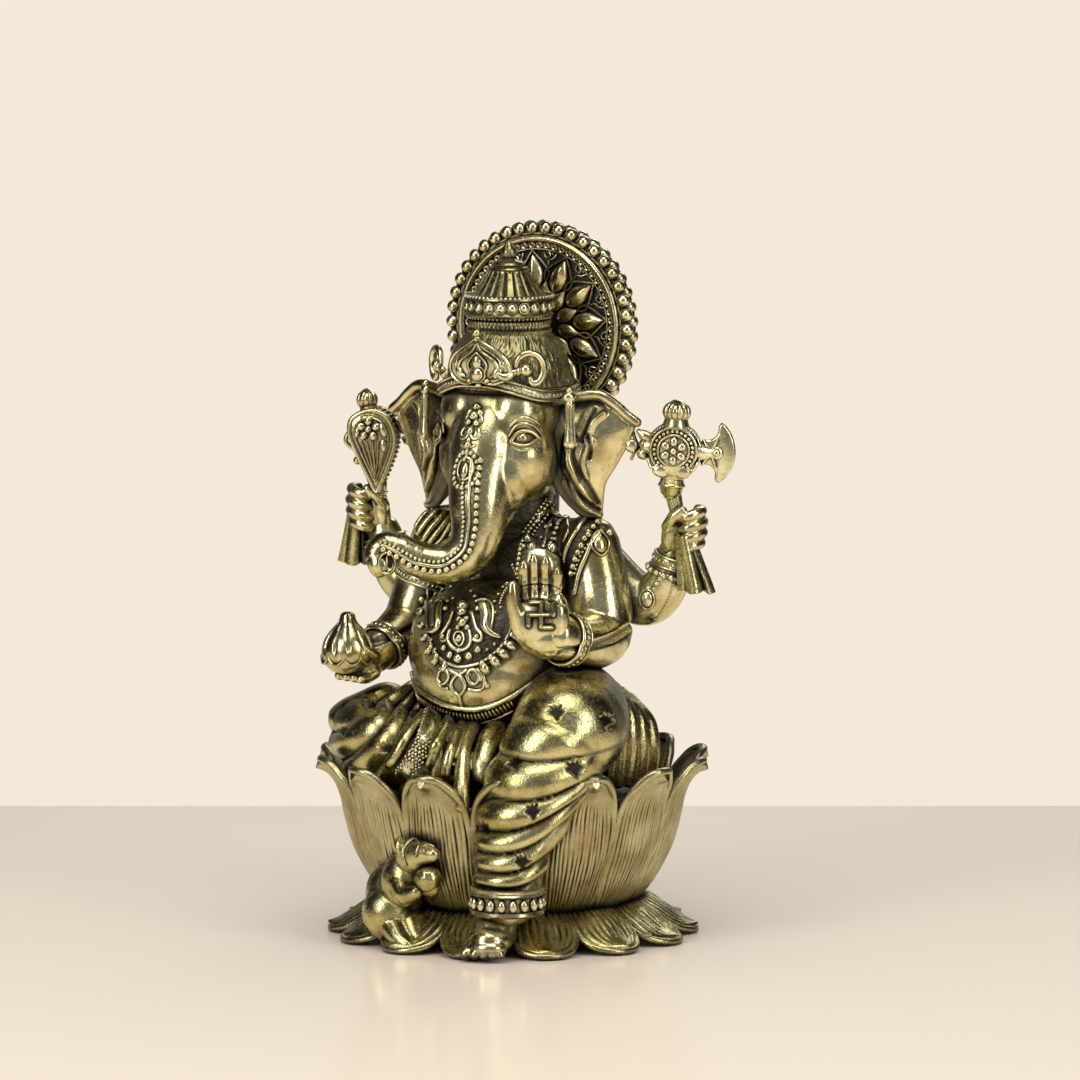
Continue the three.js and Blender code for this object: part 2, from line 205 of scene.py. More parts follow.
def bar(path, width, height=None, normals=None, sides=10, closed=False):
    """A bar along the path. Width and height are half sizes; like the normals, one or one each."""
    path = np.asarray(path, float)[:, :3]
    width = np.broadcast_to(np.asarray(width, float), len(path)).copy()
    height = np.broadcast_to(np.asarray(width if height is None else height, float), len(path)).copy()
    if closed:
        tangents = unit(np.roll(path, -1, axis=0) - np.roll(path, 1, axis=0))
    else:
        tangents = unit(np.gradient(path, axis=0))
    if normals is None:
        normals = carried_normals(tangents)
    else:
        normals = np.broadcast_to(np.asarray(normals, float), path.shape)
    normals = unit(normals - tangents * np.sum(normals * tangents, axis=1, keepdims=True))
    if not closed:
        dome = np.radians([82, 60, 30])
        reach = lambda k: np.outer(np.sin(dome), [min(width[k], height[k])] * 3)
        grow = lambda k, sign: path[k] + sign * tangents[k] * reach(k)
        fall = np.cos(dome)
        path = np.vstack([grow(0, -1), path, grow(-1, 1)[::-1]])
        tangents = np.vstack([[tangents[0]] * 3, tangents, [tangents[-1]] * 3])
        normals = np.vstack([[normals[0]] * 3, normals, [normals[-1]] * 3])
        width = np.concatenate([width[0] * fall, width, width[-1] * fall[::-1]])
        height = np.concatenate([height[0] * fall, height, height[-1] * fall[::-1]])
    across = np.cross(tangents, normals)
    angle = np.linspace(0, FULL_TURN, sides, endpoint=False)
    ring = (
        path[:, None]
        + across[:, None] * (width[:, None] * np.cos(angle))[..., None]
        + normals[:, None] * (height[:, None] * np.sin(angle))[..., None]
    )
    count = len(path)
    faces = []
    for i in range(count if closed else count - 1):
        below, above = i * sides, (i + 1) % count * sides
        for j in range(sides):
            k = (j + 1) % sides
            faces.append((below + j, below + k, above + k, above + j))
    if not closed:
        faces += [tuple(range(sides))[::-1], tuple(range((count - 1) * sides, count * sides))]
    return mesh_object(ring.reshape(-1, 3), faces)


def rod(points, sides=12, step=0.8):
    """A round bar through points that each give x, y, z and a radius."""
    path = smooth_path(points, step)
    return bar(path, path[:, 3], sides=sides)


# %% [markdown]
# Sculpting is one function that hands every vertex and its normal to a rule and puts back what
# the rule returns. Painting is the same for one number for each vertex, the patina, which the
# brass material reads: 1 is left black and 0 is rubbed bright.

# %% Sculpting and painting
def sculpt(made, rule):
    mesh = made.data
    places, outward = np.empty(len(mesh.vertices) * 3), np.empty(len(mesh.vertices) * 3)
    mesh.vertices.foreach_get("co", places)
    mesh.vertices.foreach_get("normal", outward)
    moved = rule(places.reshape(-1, 3), outward.reshape(-1, 3))
    mesh.vertices.foreach_set("co", np.ascontiguousarray(moved).ravel())
    mesh.update()
    return made


def paint_patina(made, rule):
    mesh = made.data
    places = np.empty(len(mesh.vertices) * 3)
    mesh.vertices.foreach_get("co", places)
    shade = mesh.attributes.get("patina") or mesh.attributes.new("patina", "FLOAT", "POINT")
    before = np.empty(len(mesh.vertices))
    shade.data.foreach_get("value", before)
    now = np.maximum(before, np.clip(rule(places.reshape(-1, 3)), 0, 1))
    shade.data.foreach_set("value", now)
    return made


def ease(low, high, value):
    """0 below low, 1 above high and a smooth rise between."""
    t = np.clip((value - low) / (high - low), 0, 1)
    return t * t * (3 - 2 * t)


def grain(places, pitch, seed=0):
    """A cheap smooth noise from -1 to 1 whose bumps are about one pitch apart."""
    turns = np.random.default_rng(seed).normal(size=(6, 3)) * (2 * math.pi / pitch) * 0.6
    shifts = np.random.default_rng(seed + 1).uniform(0, 6, 6)
    return np.sin(places @ turns.T + shifts).sum(axis=1) / 3.2


# %% [markdown]
# Ornaments are set on a skin. The skin is kept as a search tree: a point goes to the nearest
# place on it, or is dropped on it along the show direction. What repeats, such as a bead, is
# modelled once at the origin with its foot down, and every setting gets its own copy.

# %% Setting ornaments on a skin
def skin_of(*parts):
    vertices, faces = [], []
    for part in parts:
        base = len(vertices)
        vertices += [v.co.copy() for v in part.data.vertices]
        faces += [[base + i for i in p.vertices] for p in part.data.polygons]
    return BVHTree.FromPolygons(vertices, faces)


def dropped(skin, seen):
    """Points and normals where places marked out from the show side meet the skin."""
    found = []
    for mark in np.asarray(seen, float):
        start = RIGHTWARD * mark[0] + UPWARD * mark[1] + TOWARD_EYE * 200
        place, normal, _, _ = skin.ray_cast(Vector(start), Vector(-TOWARD_EYE))
        if place is None:
            place, normal, _, _ = skin.find_nearest(Vector(start - TOWARD_EYE * 190))
        found.append((np.array(place), np.array(normal)))
    return np.array([f[0] for f in found]), np.array([f[1] for f in found])


def nearest(skin, points):
    found = [skin.find_nearest(Vector(p[:3])) for p in np.asarray(points, float)]
    return np.array([f[0] for f in found]), np.array([f[1] for f in found])


def smoothed(values, rounds=2):
    values = np.array(values, float)
    for _ in range(rounds):
        values[1:-1] = (values[:-2] + 2 * values[1:-1] + values[2:]) / 4
    return values


def copies(motif, points, normals, ups=SKYWARD, sizes=1.0):
    """One mesh with a copy of the motif at each point, its Z along the normal and its Y along up."""
    mesh = motif.data
    shape = np.empty(len(mesh.vertices) * 3)
    mesh.vertices.foreach_get("co", shape)
    shape = shape.reshape(-1, 3)
    faces = [tuple(p.vertices) for p in mesh.polygons]
    points = np.asarray(points, float)
    normals = unit(np.broadcast_to(normals, points.shape))
    ups = np.broadcast_to(np.asarray(ups, float), points.shape)
    ups = unit(ups - normals * np.sum(ups * normals, axis=1, keepdims=True))
    across = np.cross(ups, normals)
    sizes = np.broadcast_to(np.asarray(sizes, float), len(points))
    placed, turned = [], []
    for i, point in enumerate(points):
        placed.append(point + (shape @ np.array([across[i], ups[i], normals[i]])) * sizes[i])
        turned += [tuple(v + i * len(shape) for v in face) for face in faces]
    bpy.data.objects.remove(motif)
    return mesh_object(np.vstack(placed), turned)


def set_on(skin, marks, motif, **how):
    """Copies of a motif on the skin, at places marked out from the show side."""
    return copies(motif, *dropped(skin, marks), **how)


def bead(radius, proud=0.55, around=10, down=7):
    """A bead whose middle stands a share of its radius above the skin."""
    return ball((0, 0, radius * proud), (radius, radius, radius), around=around, down=down)


def every(path, spacing):
    """Evenly spaced points along a path, with the way along it."""
    walked = np.concatenate([[0], np.cumsum(np.linalg.norm(np.diff(path[:, :3], axis=0), axis=1))])
    at = np.linspace(0, walked[-1], max(2, int(round(walked[-1] / spacing)) + 1))
    points = np.column_stack([np.interp(at, walked, column) for column in path.T])
    return points, unit(np.gradient(points, axis=0))


def on_skin(skin, seen):
    """A smooth line marked out from the show side and laid on the skin."""
    return smoothed(dropped(skin, smooth_path(seen, 0.5))[0])


def wire_on(skin, seen, radius, rise=0.3, closed=False, sides=8):
    """A wire on the skin; rise is the share of its radius that its middle stands proud."""
    path = smooth_path(seen, 0.5, closed)
    points, normals = dropped(skin, path)
    if not closed:
        points = smoothed(points, 3)
    return bar(points + normals * radius * rise, radius, normals=normals, sides=sides, closed=closed)


def beads_on(skin, seen, radius, spacing):
    points, along = every(on_skin(skin, seen), spacing)
    return copies(bead(radius, 0.45), *nearest(skin, points), ups=along)


# %% [markdown]
# A finished piece has its normals made consistent, is shaded smooth, goes from millimetres to
# metres, and takes its finish. It rides on the one rigid body, and stands for its plain castings.

# %% Finishing a piece
def finished(made, name, material, slot, *castings):
    take(made)
    bpy.ops.object.mode_set(mode="EDIT")
    bpy.ops.mesh.select_all(action="SELECT")
    bpy.ops.mesh.normals_make_consistent(inside=False)
    bpy.ops.object.mode_set(mode="OBJECT")
    bpy.ops.object.shade_smooth_by_angle(angle=math.radians(50))
    made.data.transform(Matrix.Scale(MM, 4))
    made.name = made.data.name = name
    made.data.materials.clear()
    made.data.materials.append(material)
    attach(made, "root")
    if castings:
        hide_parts(*castings)
    triangles = sum(len(p.vertices) - 2 for p in made.data.polygons)
    print(f"{name}: {triangles} triangles")
    return made


def mirrored(made):
    """A second piece, the mirror image of the first in the middle plane."""
    take(made)
    bpy.ops.object.duplicate()
    other = bpy.context.object
    other.data.transform(Matrix.Scale(-1, 4, (1, 0, 0)))
    other.data.flip_normals()
    return other


# %% [markdown]
# ## The finish
# The metal is brass with an antique finish. Liver-of-sulphur patina turns it brown-black all over,
# and rubbing brings the metal back wherever a cloth can reach, so the bright parts are the raised
# ones. Occlusion within a couple of millimetres stands for how deep a place lies. A cast skin is
# also slightly pitted, each pit keeping its patina, and it varies from green-gold to warm brown.

# %% Colours and nodes
def linear(code):
    """A colour written as sRGB hex, as linear RGB with full alpha."""
    channels = [int(code[i : i + 2], 16) / 255 for i in (0, 2, 4)]
    return [c / 12.92 if c <= 0.04045 else ((c + 0.055) / 1.055) ** 2.4 for c in channels] + [1]


def add_node(tree, kind, inputs=None, **settings):
    made = tree.nodes.new(kind)
    for key, value in settings.items():
        setattr(made, key, value)
    for key, value in (inputs or {}).items():
        if isinstance(value, bpy.types.NodeSocket):
            tree.links.new(value, made.inputs[key])
        else:
            made.inputs[key].default_value = value
    return made


# %% Antique brass
def antique_brass(name, bright, olive, patina, reach_mm, roughness, grain_mm, grain_depth_mm, pits):
    """Rubbed brass. Reach is how deep the cloth gets; pits is the share of the skin that is pitted."""
    material = bpy.data.materials.new(name)
    material.use_nodes = True
    tree = material.node_tree
    tree.nodes.clear()
    place = add_node(tree, "ShaderNodeTexCoord").outputs["Object"]

    # Metal colour: two tones in soft patches about 7 mm across, and a brown cast in larger ones.
    patches = add_node(
        tree, "ShaderNodeTexNoise", {"Vector": place, "Scale": 1 / (7 * MM), "Detail": 4.0, "Roughness": 0.6},
    )
    share = add_node(tree, "ShaderNodeMapRange", {"Value": patches.outputs["Fac"], "From Min": 0.35, "From Max": 0.62})
    tone = add_node(tree, "ShaderNodeMix", {"Factor": share.outputs[0]}, data_type="RGBA")
    tone.inputs["A"].default_value, tone.inputs["B"].default_value = linear(olive), linear(bright)
    brown_patches = add_node(
        tree, "ShaderNodeTexNoise", {"Vector": place, "Scale": 1 / (16 * MM), "Detail": 3.0},
    )
    brown_share = add_node(
        tree, "ShaderNodeMapRange",
        {"Value": brown_patches.outputs["Fac"], "From Min": 0.52, "From Max": 0.75, "To Max": 0.45},
    )
    metal = add_node(tree, "ShaderNodeMix", {"Factor": brown_share.outputs[0]}, data_type="RGBA")
    tree.links.new(tone.outputs["Result"], metal.inputs["A"])
    metal.inputs["B"].default_value = linear("9C7C50")

    # Where the patina stays: deep places, pits and what was painted with it.
    depth = add_node(tree, "ShaderNodeAmbientOcclusion", {"Distance": reach_mm * MM}, samples=6)
    fleck = add_node(
        tree, "ShaderNodeTexNoise", {"Vector": place, "Scale": 1 / (0.9 * MM), "Detail": 5.0, "Roughness": 0.65},
    )
    uneven = add_node(
        tree, "ShaderNodeMath",
        {0: fleck.outputs["Fac"], 1: 0.42, 2: depth.outputs["AO"]}, operation="MULTIPLY_ADD",
    )
    rubbed = add_node(
        tree, "ShaderNodeMapRange",
        {"Value": uneven.outputs[0], "From Min": 0.70, "From Max": 1.12}, interpolation_type="SMOOTHSTEP",
    )
    deep = add_node(tree, "ShaderNodeMath", {0: 1.0, 1: rubbed.outputs[0]}, operation="SUBTRACT")
    pitted = add_node(
        tree, "ShaderNodeMapRange",
        {
            "Value": fleck.outputs["Fac"],
            "From Min": 0.66 - 0.1 * pits, "From Max": 0.74 - 0.06 * pits, "To Max": 0.8,
        },
    )
    painted = add_node(tree, "ShaderNodeAttribute", attribute_name="patina")
    deeper = add_node(tree, "ShaderNodeMath", {0: deep.outputs[0], 1: pitted.outputs[0]}, operation="MAXIMUM")
    dark = add_node(tree, "ShaderNodeMath", {0: deeper.outputs[0], 1: painted.outputs["Fac"]}, operation="MAXIMUM")

    colour = add_node(tree, "ShaderNodeMix", {"Factor": dark.outputs[0]}, data_type="RGBA")
    tree.links.new(metal.outputs["Result"], colour.inputs["A"])
    colour.inputs["B"].default_value = linear(patina)
    metallic = add_node(tree, "ShaderNodeMapRange", {"Value": dark.outputs[0], "To Min": 1.0, "To Max": 0.25})
    rough_metal = add_node(
        tree, "ShaderNodeMapRange",
        {
            "Value": fleck.outputs["Fac"], "From Min": 0.3, "From Max": 0.7,
            "To Min": roughness - 0.07, "To Max": roughness + 0.09,
        },
    )
    rough = add_node(
        tree, "ShaderNodeMath",
        {0: dark.outputs[0], 1: 0.18, 2: rough_metal.outputs[0]}, operation="MULTIPLY_ADD",
    )

    # The cast skin: grains of sand size, and a wider unevenness left by the files.
    sand = add_node(tree, "ShaderNodeTexNoise", {"Vector": place, "Scale": 1 / (grain_mm * MM), "Detail": 3.0})
    files = add_node(tree, "ShaderNodeTexNoise", {"Vector": place, "Scale": 1 / (grain_mm * 5 * MM), "Detail": 2.0})
    height = add_node(
        tree, "ShaderNodeMath",
        {0: files.outputs["Fac"], 1: 0.9, 2: sand.outputs["Fac"]}, operation="MULTIPLY_ADD",
    )
    bump = add_node(
        tree, "ShaderNodeBump",
        {"Height": height.outputs[0], "Distance": grain_depth_mm * MM, "Strength": 1.0},
    )
    shader = add_node(
        tree, "ShaderNodeBsdfPrincipled",
        {
            "Base Color": colour.outputs["Result"],
            "Metallic": metallic.outputs[0],
            "Roughness": rough.outputs[0],
            "Specular IOR Level": 0.3,
            "Normal": bump.outputs["Normal"],
        },
    )
    add_node(tree, "ShaderNodeOutputMaterial", {"Surface": shader.outputs[0]})
    return material


# Smooth skin: the most rubbed, so the brightest, with few pits.
skin_brass = antique_brass("skin_brass", "DDD5A6", "AD9F6A", "140F08", 4.6, 0.21, 0.5, 0.035, 0.4)
# Cast cloth, the mouse and the lower petals: a hammered grain that scatters the highlights.
cloth_brass = antique_brass("cloth_brass", "CEC692", "A3985E", "140F08", 2.3, 0.24, 0.42, 0.06, 0.5)
# Jewellery: small raised metal over a black ground.
ornament_brass = antique_brass("ornament_brass", "E8E2B8", "C0B47E", "0E0A06", 1.9, 0.21, 0.4, 0.025, 0.35)
# Upper petals: satin, with a greener tone.
lotus_brass = antique_brass("lotus_brass", "B8B188", "978D60", "140F08", 2.4, 0.30, 0.45, 0.05, 0.4)
# Crown and hair: rubbed only a little.
shaded_brass = antique_brass("shaded_brass", "ACA478", "786F46", "100E0A", 3.2, 0.26, 0.45, 0.04, 0.7)
# Grounds that no cloth reaches: mostly patina.
blackened_brass = antique_brass("blackened_brass", "4A4634", "26241C", "0D0B09", 4.5, 0.34, 0.6, 0.05, 1.0)
print("finishes:", [m.name for m in bpy.data.materials if m.name.endswith("_brass")])


# %% [markdown]
# ## The lotus
# The seat is a seed pod with a narrow waist, hidden by two rings of petals. A lathe shape suits
# it: the half outline is drawn once and spun about the axis, as it would be turned on a wheel.

# %% Turning on a wheel
PETALS = sum(name.startswith("upper_petal_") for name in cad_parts)
PETAL_STEP = FULL_TURN / PETALS
FIRST_PETAL = 0.466  # radians from the front towards the figure's left


def turned(profile, axis=(0, 0), steps=72, step=None):
    """Spins a half outline of (radius, height) points about an upright axis."""
    outline = np.array(profile, float) if step is None else smooth_path(profile, step)
    bpy.ops.object.select_all(action="DESELECT")
    made = mesh_object([(r, 0, z) for r, z in outline], [])
    mesh = made.data
    mesh.edges.add(len(outline) - 1)
    for i, edge in enumerate(mesh.edges):
        edge.vertices = (i, i + 1)
    take(made)
    bpy.ops.object.mode_set(mode="EDIT")
    bpy.ops.mesh.select_all(action="SELECT")
    bpy.ops.mesh.spin(steps=steps, angle=FULL_TURN, center=(0, 0, 0), axis=(0, 0, 1))
    bpy.ops.mesh.select_all(action="SELECT")
    bpy.ops.mesh.remove_doubles(threshold=0.01)
    bpy.ops.object.mode_set(mode="OBJECT")
    made.data.transform(Matrix.Translation((axis[0], axis[1], 0)))
    return made


def ring_places(radius, count, height, axis=(0, 0)):
    """Points and outward directions for pieces set in a ring about an upright axis."""
    angles = np.arange(count) * FULL_TURN / count
    out = np.column_stack([np.sin(angles), -np.cos(angles), np.zeros(count)])
    return out * radius + [axis[0], axis[1], height], out


# %% The seed pod
SEAT_TOP = casting_box("lotus_seat")[1][2]
pod = turned(
    [
        (0, 0), (24, 0), (24, 2.4), (20.2, 7.4), (20.2, 9.8), (24, 14.6), (28, 22), (29, 28.6),
        (28.2, 30.4), (25.5, 31), (24.5, 30.4), (22, SEAT_TOP - 1), (0, SEAT_TOP),
    ],
    steps=84,
)
finished(pod, "lotus_seed_pod", blackened_brass, "lotus_brass", "lotus_seat")
stamen = bar(smooth_path([(0, 0, 0), (0, 0.1, 2.2), (0, 0.9, 4.4)], 0.8), 0.42, sides=6)
stamen_feet, stamen_out = ring_places(29.4, 84, 24.5)
stamen = copies(stamen, stamen_feet, SKYWARD, stamen_out)
finished(stamen, "stamen_fringe", lotus_brass, "lotus_brass")

# %% [markdown]
# A petal is a flat grid first. While it is flat, its veins are easy to say: grooves along its
# length, broken here and there, that fade before the tip. Their patina is painted then too. Then
# the grid, already given two faces, is bent: along its length to the flower's profile, across it
# to the round of the ring. A round bar along its rim takes the sharp edge off. The ring is one
# petal, copied and turned, because the wax petals came out of one mould.

# %% One petal
SHEET = 0.1  # the flat grid is this thick before it is bent, which keeps its two faces apart
MID_SHEET = -SHEET / 2


def petal(profile, widths, thickness, rise, veins, groove_mm, lip, columns, seed, top_seen=False):
    """Lip is how far the long edges roll out; rise is how far the edges fall behind the middle."""
    bpy.ops.object.select_all(action="DESELECT")
    bpy.ops.mesh.primitive_grid_add(x_subdivisions=columns, y_subdivisions=38, size=2)
    made = bpy.context.object
    apply_modifier(made, "SOLIDIFY", thickness=SHEET, offset=-1)
    centre = smooth_path(profile, 0.4)
    half = smooth_path(widths, 0.02)
    along = np.linspace(0, 1, len(centre))

    def grooves(flat):
        s, t = flat[:, 0], (flat[:, 1] + 1) / 2
        drift = 0.028 * grain(np.column_stack([s * 2.2, t * 3.0, t * 0]), 2.2, seed)
        line = np.abs(((s + drift) * veins / 2) % 1 - 0.5) * 2
        vein = np.round((s + drift) * veins / 2)
        broken = 0.72 + 0.4 * grain(np.column_stack([vein * 3, t * 9, t * 0]), 2.6, seed + 4)
        fade = ease(0.0, 0.12, t) * (1 - ease(0.66, 0.9, t + 0.08 * grain(flat * 4, 2.0, seed + 2)))
        clear = 1 - ease(0.86, 0.97, np.abs(s))
        shown = (flat[:, 2] < MID_SHEET) == top_seen
        return ease(0.5, 0.9, line) * fade * np.clip(broken, 0, 1) * clear * shown

    def bend(flat, _, lift=0.0):
        s, t = flat[:, 0], (flat[:, 1] + 1) / 2
        radius = np.interp(t, along, centre[:, 0])
        height = np.interp(t, along, centre[:, 1])
        reach = np.interp(t, half[:, 0], half[:, 1]) * math.tan(PETAL_STEP / 2)
        angle = s * np.maximum(reach, 0.004)
        belly = rise * s**2 * ease(0, 0.3, t)
        edge = lip * ease(0.6, 1.0, np.abs(s)) ** 2 * ease(0.4, 0.8, t) * (1 - ease(0.86, 0.98, t))
        cut = groove_mm * grooves(flat)
        push = edge + lift - belly + np.where(flat[:, 2] > MID_SHEET, thickness, 0.0) + np.where(top_seen, cut, -cut)
        slope = np.gradient(centre[:, 1], along), np.gradient(centre[:, 0], along)
        lean = np.arctan2(np.interp(t, along, slope[0]), np.interp(t, along, slope[1]))
        radius = radius + push * np.sin(lean)
        height = height - push * np.cos(lean)
        return np.column_stack([radius * np.sin(angle), -radius * np.cos(angle), height])

    paint_patina(made, lambda flat: 0.95 * ease(0.25, 0.8, grooves(flat)))
    sculpt(made, bend)
    side = np.linspace(-0.96, 0.985, 70)
    walk = np.array([(-0.985, y, 0) for y in side] + [(0.985, y, 0) for y in side[::-1]])
    rim = smoothed(bend(walk, None, lift=-thickness / 2), 3)
    share = ease(-0.3, 0.9, np.concatenate([side, side[::-1]]))
    return joined([made, bar(rim, thickness * (0.42 + 0.24 * share**3), sides=10)])


# %% The two rings of petals
UPPER_PROFILE = [
    (25.2, 8.4), (28, 11.2), (30.4, 14.8), (33, 20), (34.6, 25.6), (35.6, 30.2), (37.1, 33.8), (39.4, 36.4), (41.8, 37.4),
]
UPPER_WIDTHS = [(0, 0.9), (0.25, 1.02), (0.5, 1.03), (0.65, 0.97), (0.78, 0.82), (0.88, 0.6), (0.95, 0.33), (1, 0.1)]
LOWER_PROFILE = [(25.0, 8.6), (28.2, 8.2), (31.4, 6.6), (34.4, 4.5), (37, 2.9), (39.2, 2.2)]
LOWER_WIDTHS = [(0, 0.84), (0.3, 0.98), (0.6, 0.95), (0.8, 0.74), (0.92, 0.42), (1, 0.08)]


def petal_ring(prefix, model, first, material):
    template = model.data.copy()
    bpy.data.objects.remove(model)
    for i in range(PETALS):
        one = bpy.data.objects.new(prefix, template.copy())
        bpy.context.collection.objects.link(one)
        one.data.transform(Matrix.Rotation(first + i * PETAL_STEP, 4, "Z"))
        number = f"{i + 1:02d}"
        finished(one, f"{prefix}_leaf_{number}", material, "lotus_brass", f"{prefix}_{number}")


petal_ring(
    "upper_petal",
    petal(UPPER_PROFILE, UPPER_WIDTHS, 1.4, 1.5, 17, 0.32, 1.1, columns=118, seed=3),
    FIRST_PETAL, lotus_brass,
)
petal_ring(
    "lower_petal",
    petal(LOWER_PROFILE, LOWER_WIDTHS, 1.2, -1.0, 9, 0.42, 0.0, columns=64, seed=11, top_seen=True),
    FIRST_PETAL + PETAL_STEP / 2, cloth_brass,
)


# %% [markdown]
# ## The halo
# The halo is a shallow dish with a rope of cast balls round it, two deep, then a smooth raised
# ring, then a band pierced by a row of small drilled studs. Inside, the field is left black and a
# lotus of outlined petals opens on it. It stands upright, so everything is laid out flat in the
# plane of the dish, by radius and angle, and set at the dish's own place.

# %% Laying out on the dish
halo_low, halo_high, halo_middle = casting_box("halo_rim")
HALO_RADIUS = (halo_high[2] - halo_low[2]) / 2
HALO_FRONT = halo_low[1]
FORWARD = (0, -1.0, 0)


def dish(radius, angle, depth=0.0):
    """A point on the halo: angle in degrees from the figure's left upwards, depth behind the front."""
    turn = np.radians(angle)
    return np.array([
        halo_middle[0] + radius * math.cos(turn),
        HALO_FRONT + depth,
        halo_middle[2] + radius * math.sin(turn),
    ])


def dish_ring(radius, depth, width, height=None, sides=10):
    path = np.array([dish(radius, a, depth) for a in np.arange(0, 360, 3)])
    return bar(path, width, height, normals=FORWARD, sides=sides, closed=True)


def round_the_dish(motif, radius, count, depth, start=0.0, facing=FORWARD):
    angles = start + np.arange(count) * 360 / count
    points = [dish(radius, a, depth) for a in angles]
    outward = [dish(1, a) - dish(0, a) for a in angles]
    return copies(motif, points, facing, ups=outward)


# %% The dish and its rings
plate = dish_ring(8.4, 2.4, 9.0, 0.8, sides=12)
backing = dish_ring(HALO_RADIUS - 2.6, 2.6, 2.1, 1.9)
field = joined([plate, backing])
finished(field, "halo_dish", blackened_brass, "ornament_brass", "halo_plate")
smooth_ring = dish_ring(HALO_RADIUS * 0.83, 0.5, 0.72, 0.9)
inner_wire = dish_ring(HALO_RADIUS * 0.728, 1.0, 0.22, 0.5, sides=6)
outer_wire = dish_ring(HALO_RADIUS * 0.875, 0.9, 0.3, 0.6, sides=6)
stud_band = dish_ring(HALO_RADIUS * 0.765, 1.35, 0.95, 0.45)
finished(joined([smooth_ring, inner_wire, outer_wire, stud_band]), "halo_rings", ornament_brass, "ornament_brass")

# %% The rope of balls, and the studs with their drilled holes
BALLS = 42
front_ball = ball((0, 0, 0), (1.42, 1.5, 1.5), around=14, down=9)
front_row = round_the_dish(front_ball, HALO_RADIUS - 1.55, BALLS, 0.9)
rear_ball = ball((0, 0, 0), (1.5, 1.45, 1.7), around=12, down=8)
rear_row = round_the_dish(rear_ball, HALO_RADIUS - 1.45, BALLS, 2.9, start=180 / BALLS)
finished(joined([front_row, rear_row]), "halo_ball_rope", ornament_brass, "ornament_brass", "halo_rim")


def drilled_stud(radius, hole):
    """A small collar round a drilled hole: a short cylinder whose top face is inset and pushed in."""
    bpy.ops.object.select_all(action="DESELECT")
    bpy.ops.mesh.primitive_cylinder_add(vertices=10, radius=radius, depth=0.5, location=(0, 0, 0.15))
    made = bpy.context.object
    bpy.ops.object.mode_set(mode="EDIT")
    bpy.ops.mesh.select_all(action="DESELECT")
    bpy.ops.object.mode_set(mode="OBJECT")
    for face in made.data.polygons:
        face.select = face.normal.z > 0.9
    bpy.ops.object.mode_set(mode="EDIT")
    bpy.ops.mesh.inset(thickness=(radius - hole) * 0.45, depth=0.12)
    bpy.ops.mesh.inset(thickness=(radius - hole) * 0.55, depth=-0.1)
    bpy.ops.mesh.extrude_region_move(TRANSFORM_OT_translate={"value": (0, 0, -0.42)})
    bpy.ops.object.mode_set(mode="OBJECT")
    return made


STUDS = 60
studs = round_the_dish(drilled_stud(0.78, 0.36), HALO_RADIUS * 0.765, STUDS, 0.95)
finished(studs, "halo_studs", ornament_brass, "ornament_brass")

# %% [markdown]
# Each petal of the halo's lotus is a raised outline, drawn as one wire from root to tip and back,
# round a swelling leaf. The leaf is a ball pressed flat and drawn out to a point. Small curled
# wires fill the corners between the tips.

# %% The lotus on the dish
HALO_PETALS = 12
HALO_PETAL_START = 6.5  # degrees
TIP, ROOT = HALO_RADIUS * 0.715, HALO_RADIUS * 0.33


def petal_wire(half_width):
    line = [(0.25 * half_width, ROOT), (half_width, ROOT + 2.9), (0.86 * half_width, ROOT + 4.9), (0, TIP)]
    side = smooth_path([(x, y, 0) for x, y in line], 0.5)
    path = np.vstack([side, (side * [-1, 1, 1])[::-1][1:]])
    return bar(path, 0.24, 0.42, normals=FACING, sides=6)


def pointed_leaf(half_width, length, height, ridge=0.0):
    made = ball((0, 0, 0), (half_width, length / 2, height), around=20, down=14)

    def draw_out(places, _):
        x, y, z = places.T
        share = y / (length / 2)
        narrow = 1 - 0.75 * np.clip(share, 0, 1) ** 2
        crest = ridge * np.exp(-((x / (0.22 * half_width)) ** 2)) * (z > 0) * (1 - share**2)
        return np.column_stack([x * narrow, y + 0.12 * length * np.clip(share, 0, 1) ** 3, z + crest])

    return sculpt(made, draw_out)


wires = round_the_dish(petal_wire(3.3), 0.0, HALO_PETALS, 1.3, HALO_PETAL_START)
leaf = pointed_leaf(2.0, 7.0, 1.5, 0.3)
leaves = round_the_dish(leaf, HALO_RADIUS * 0.5, HALO_PETALS, 1.5, HALO_PETAL_START)
core_leaf = pointed_leaf(1.5, 5.0, 0.9, 0.2)
core_leaves = round_the_dish(core_leaf, HALO_RADIUS * 0.3, HALO_PETALS, 1.3, HALO_PETAL_START + 15)
corner = joined([
    *[bar(smooth_path(curl, 0.3), 0.17, sides=6) for curl in (
        [(-1.5, 0.9, 0), (-0.9, -0.1, 0.1), (0.1, 0.2, 0.1), (-0.2, 1.0, 0), (-0.7, 0.9, 0)],
        [(1.5, 0.9, 0), (0.9, -0.1, 0.1), (0.0, -0.7, 0.1), (-0.1, -1.8, 0)],
    )],
    ball((0.7, 0.9, 0.1), (0.32, 0.32, 0.3), around=8, down=6),
    ball((0, -2.5, 0.1), (0.3, 0.3, 0.3), around=8, down=6),
])
corners = round_the_dish(corner, HALO_RADIUS * 0.655, HALO_PETALS, 1.5, HALO_PETAL_START + 15)
finished(joined([wires, leaves, core_leaves, corners]), "halo_lotus", ornament_brass, "ornament_brass")

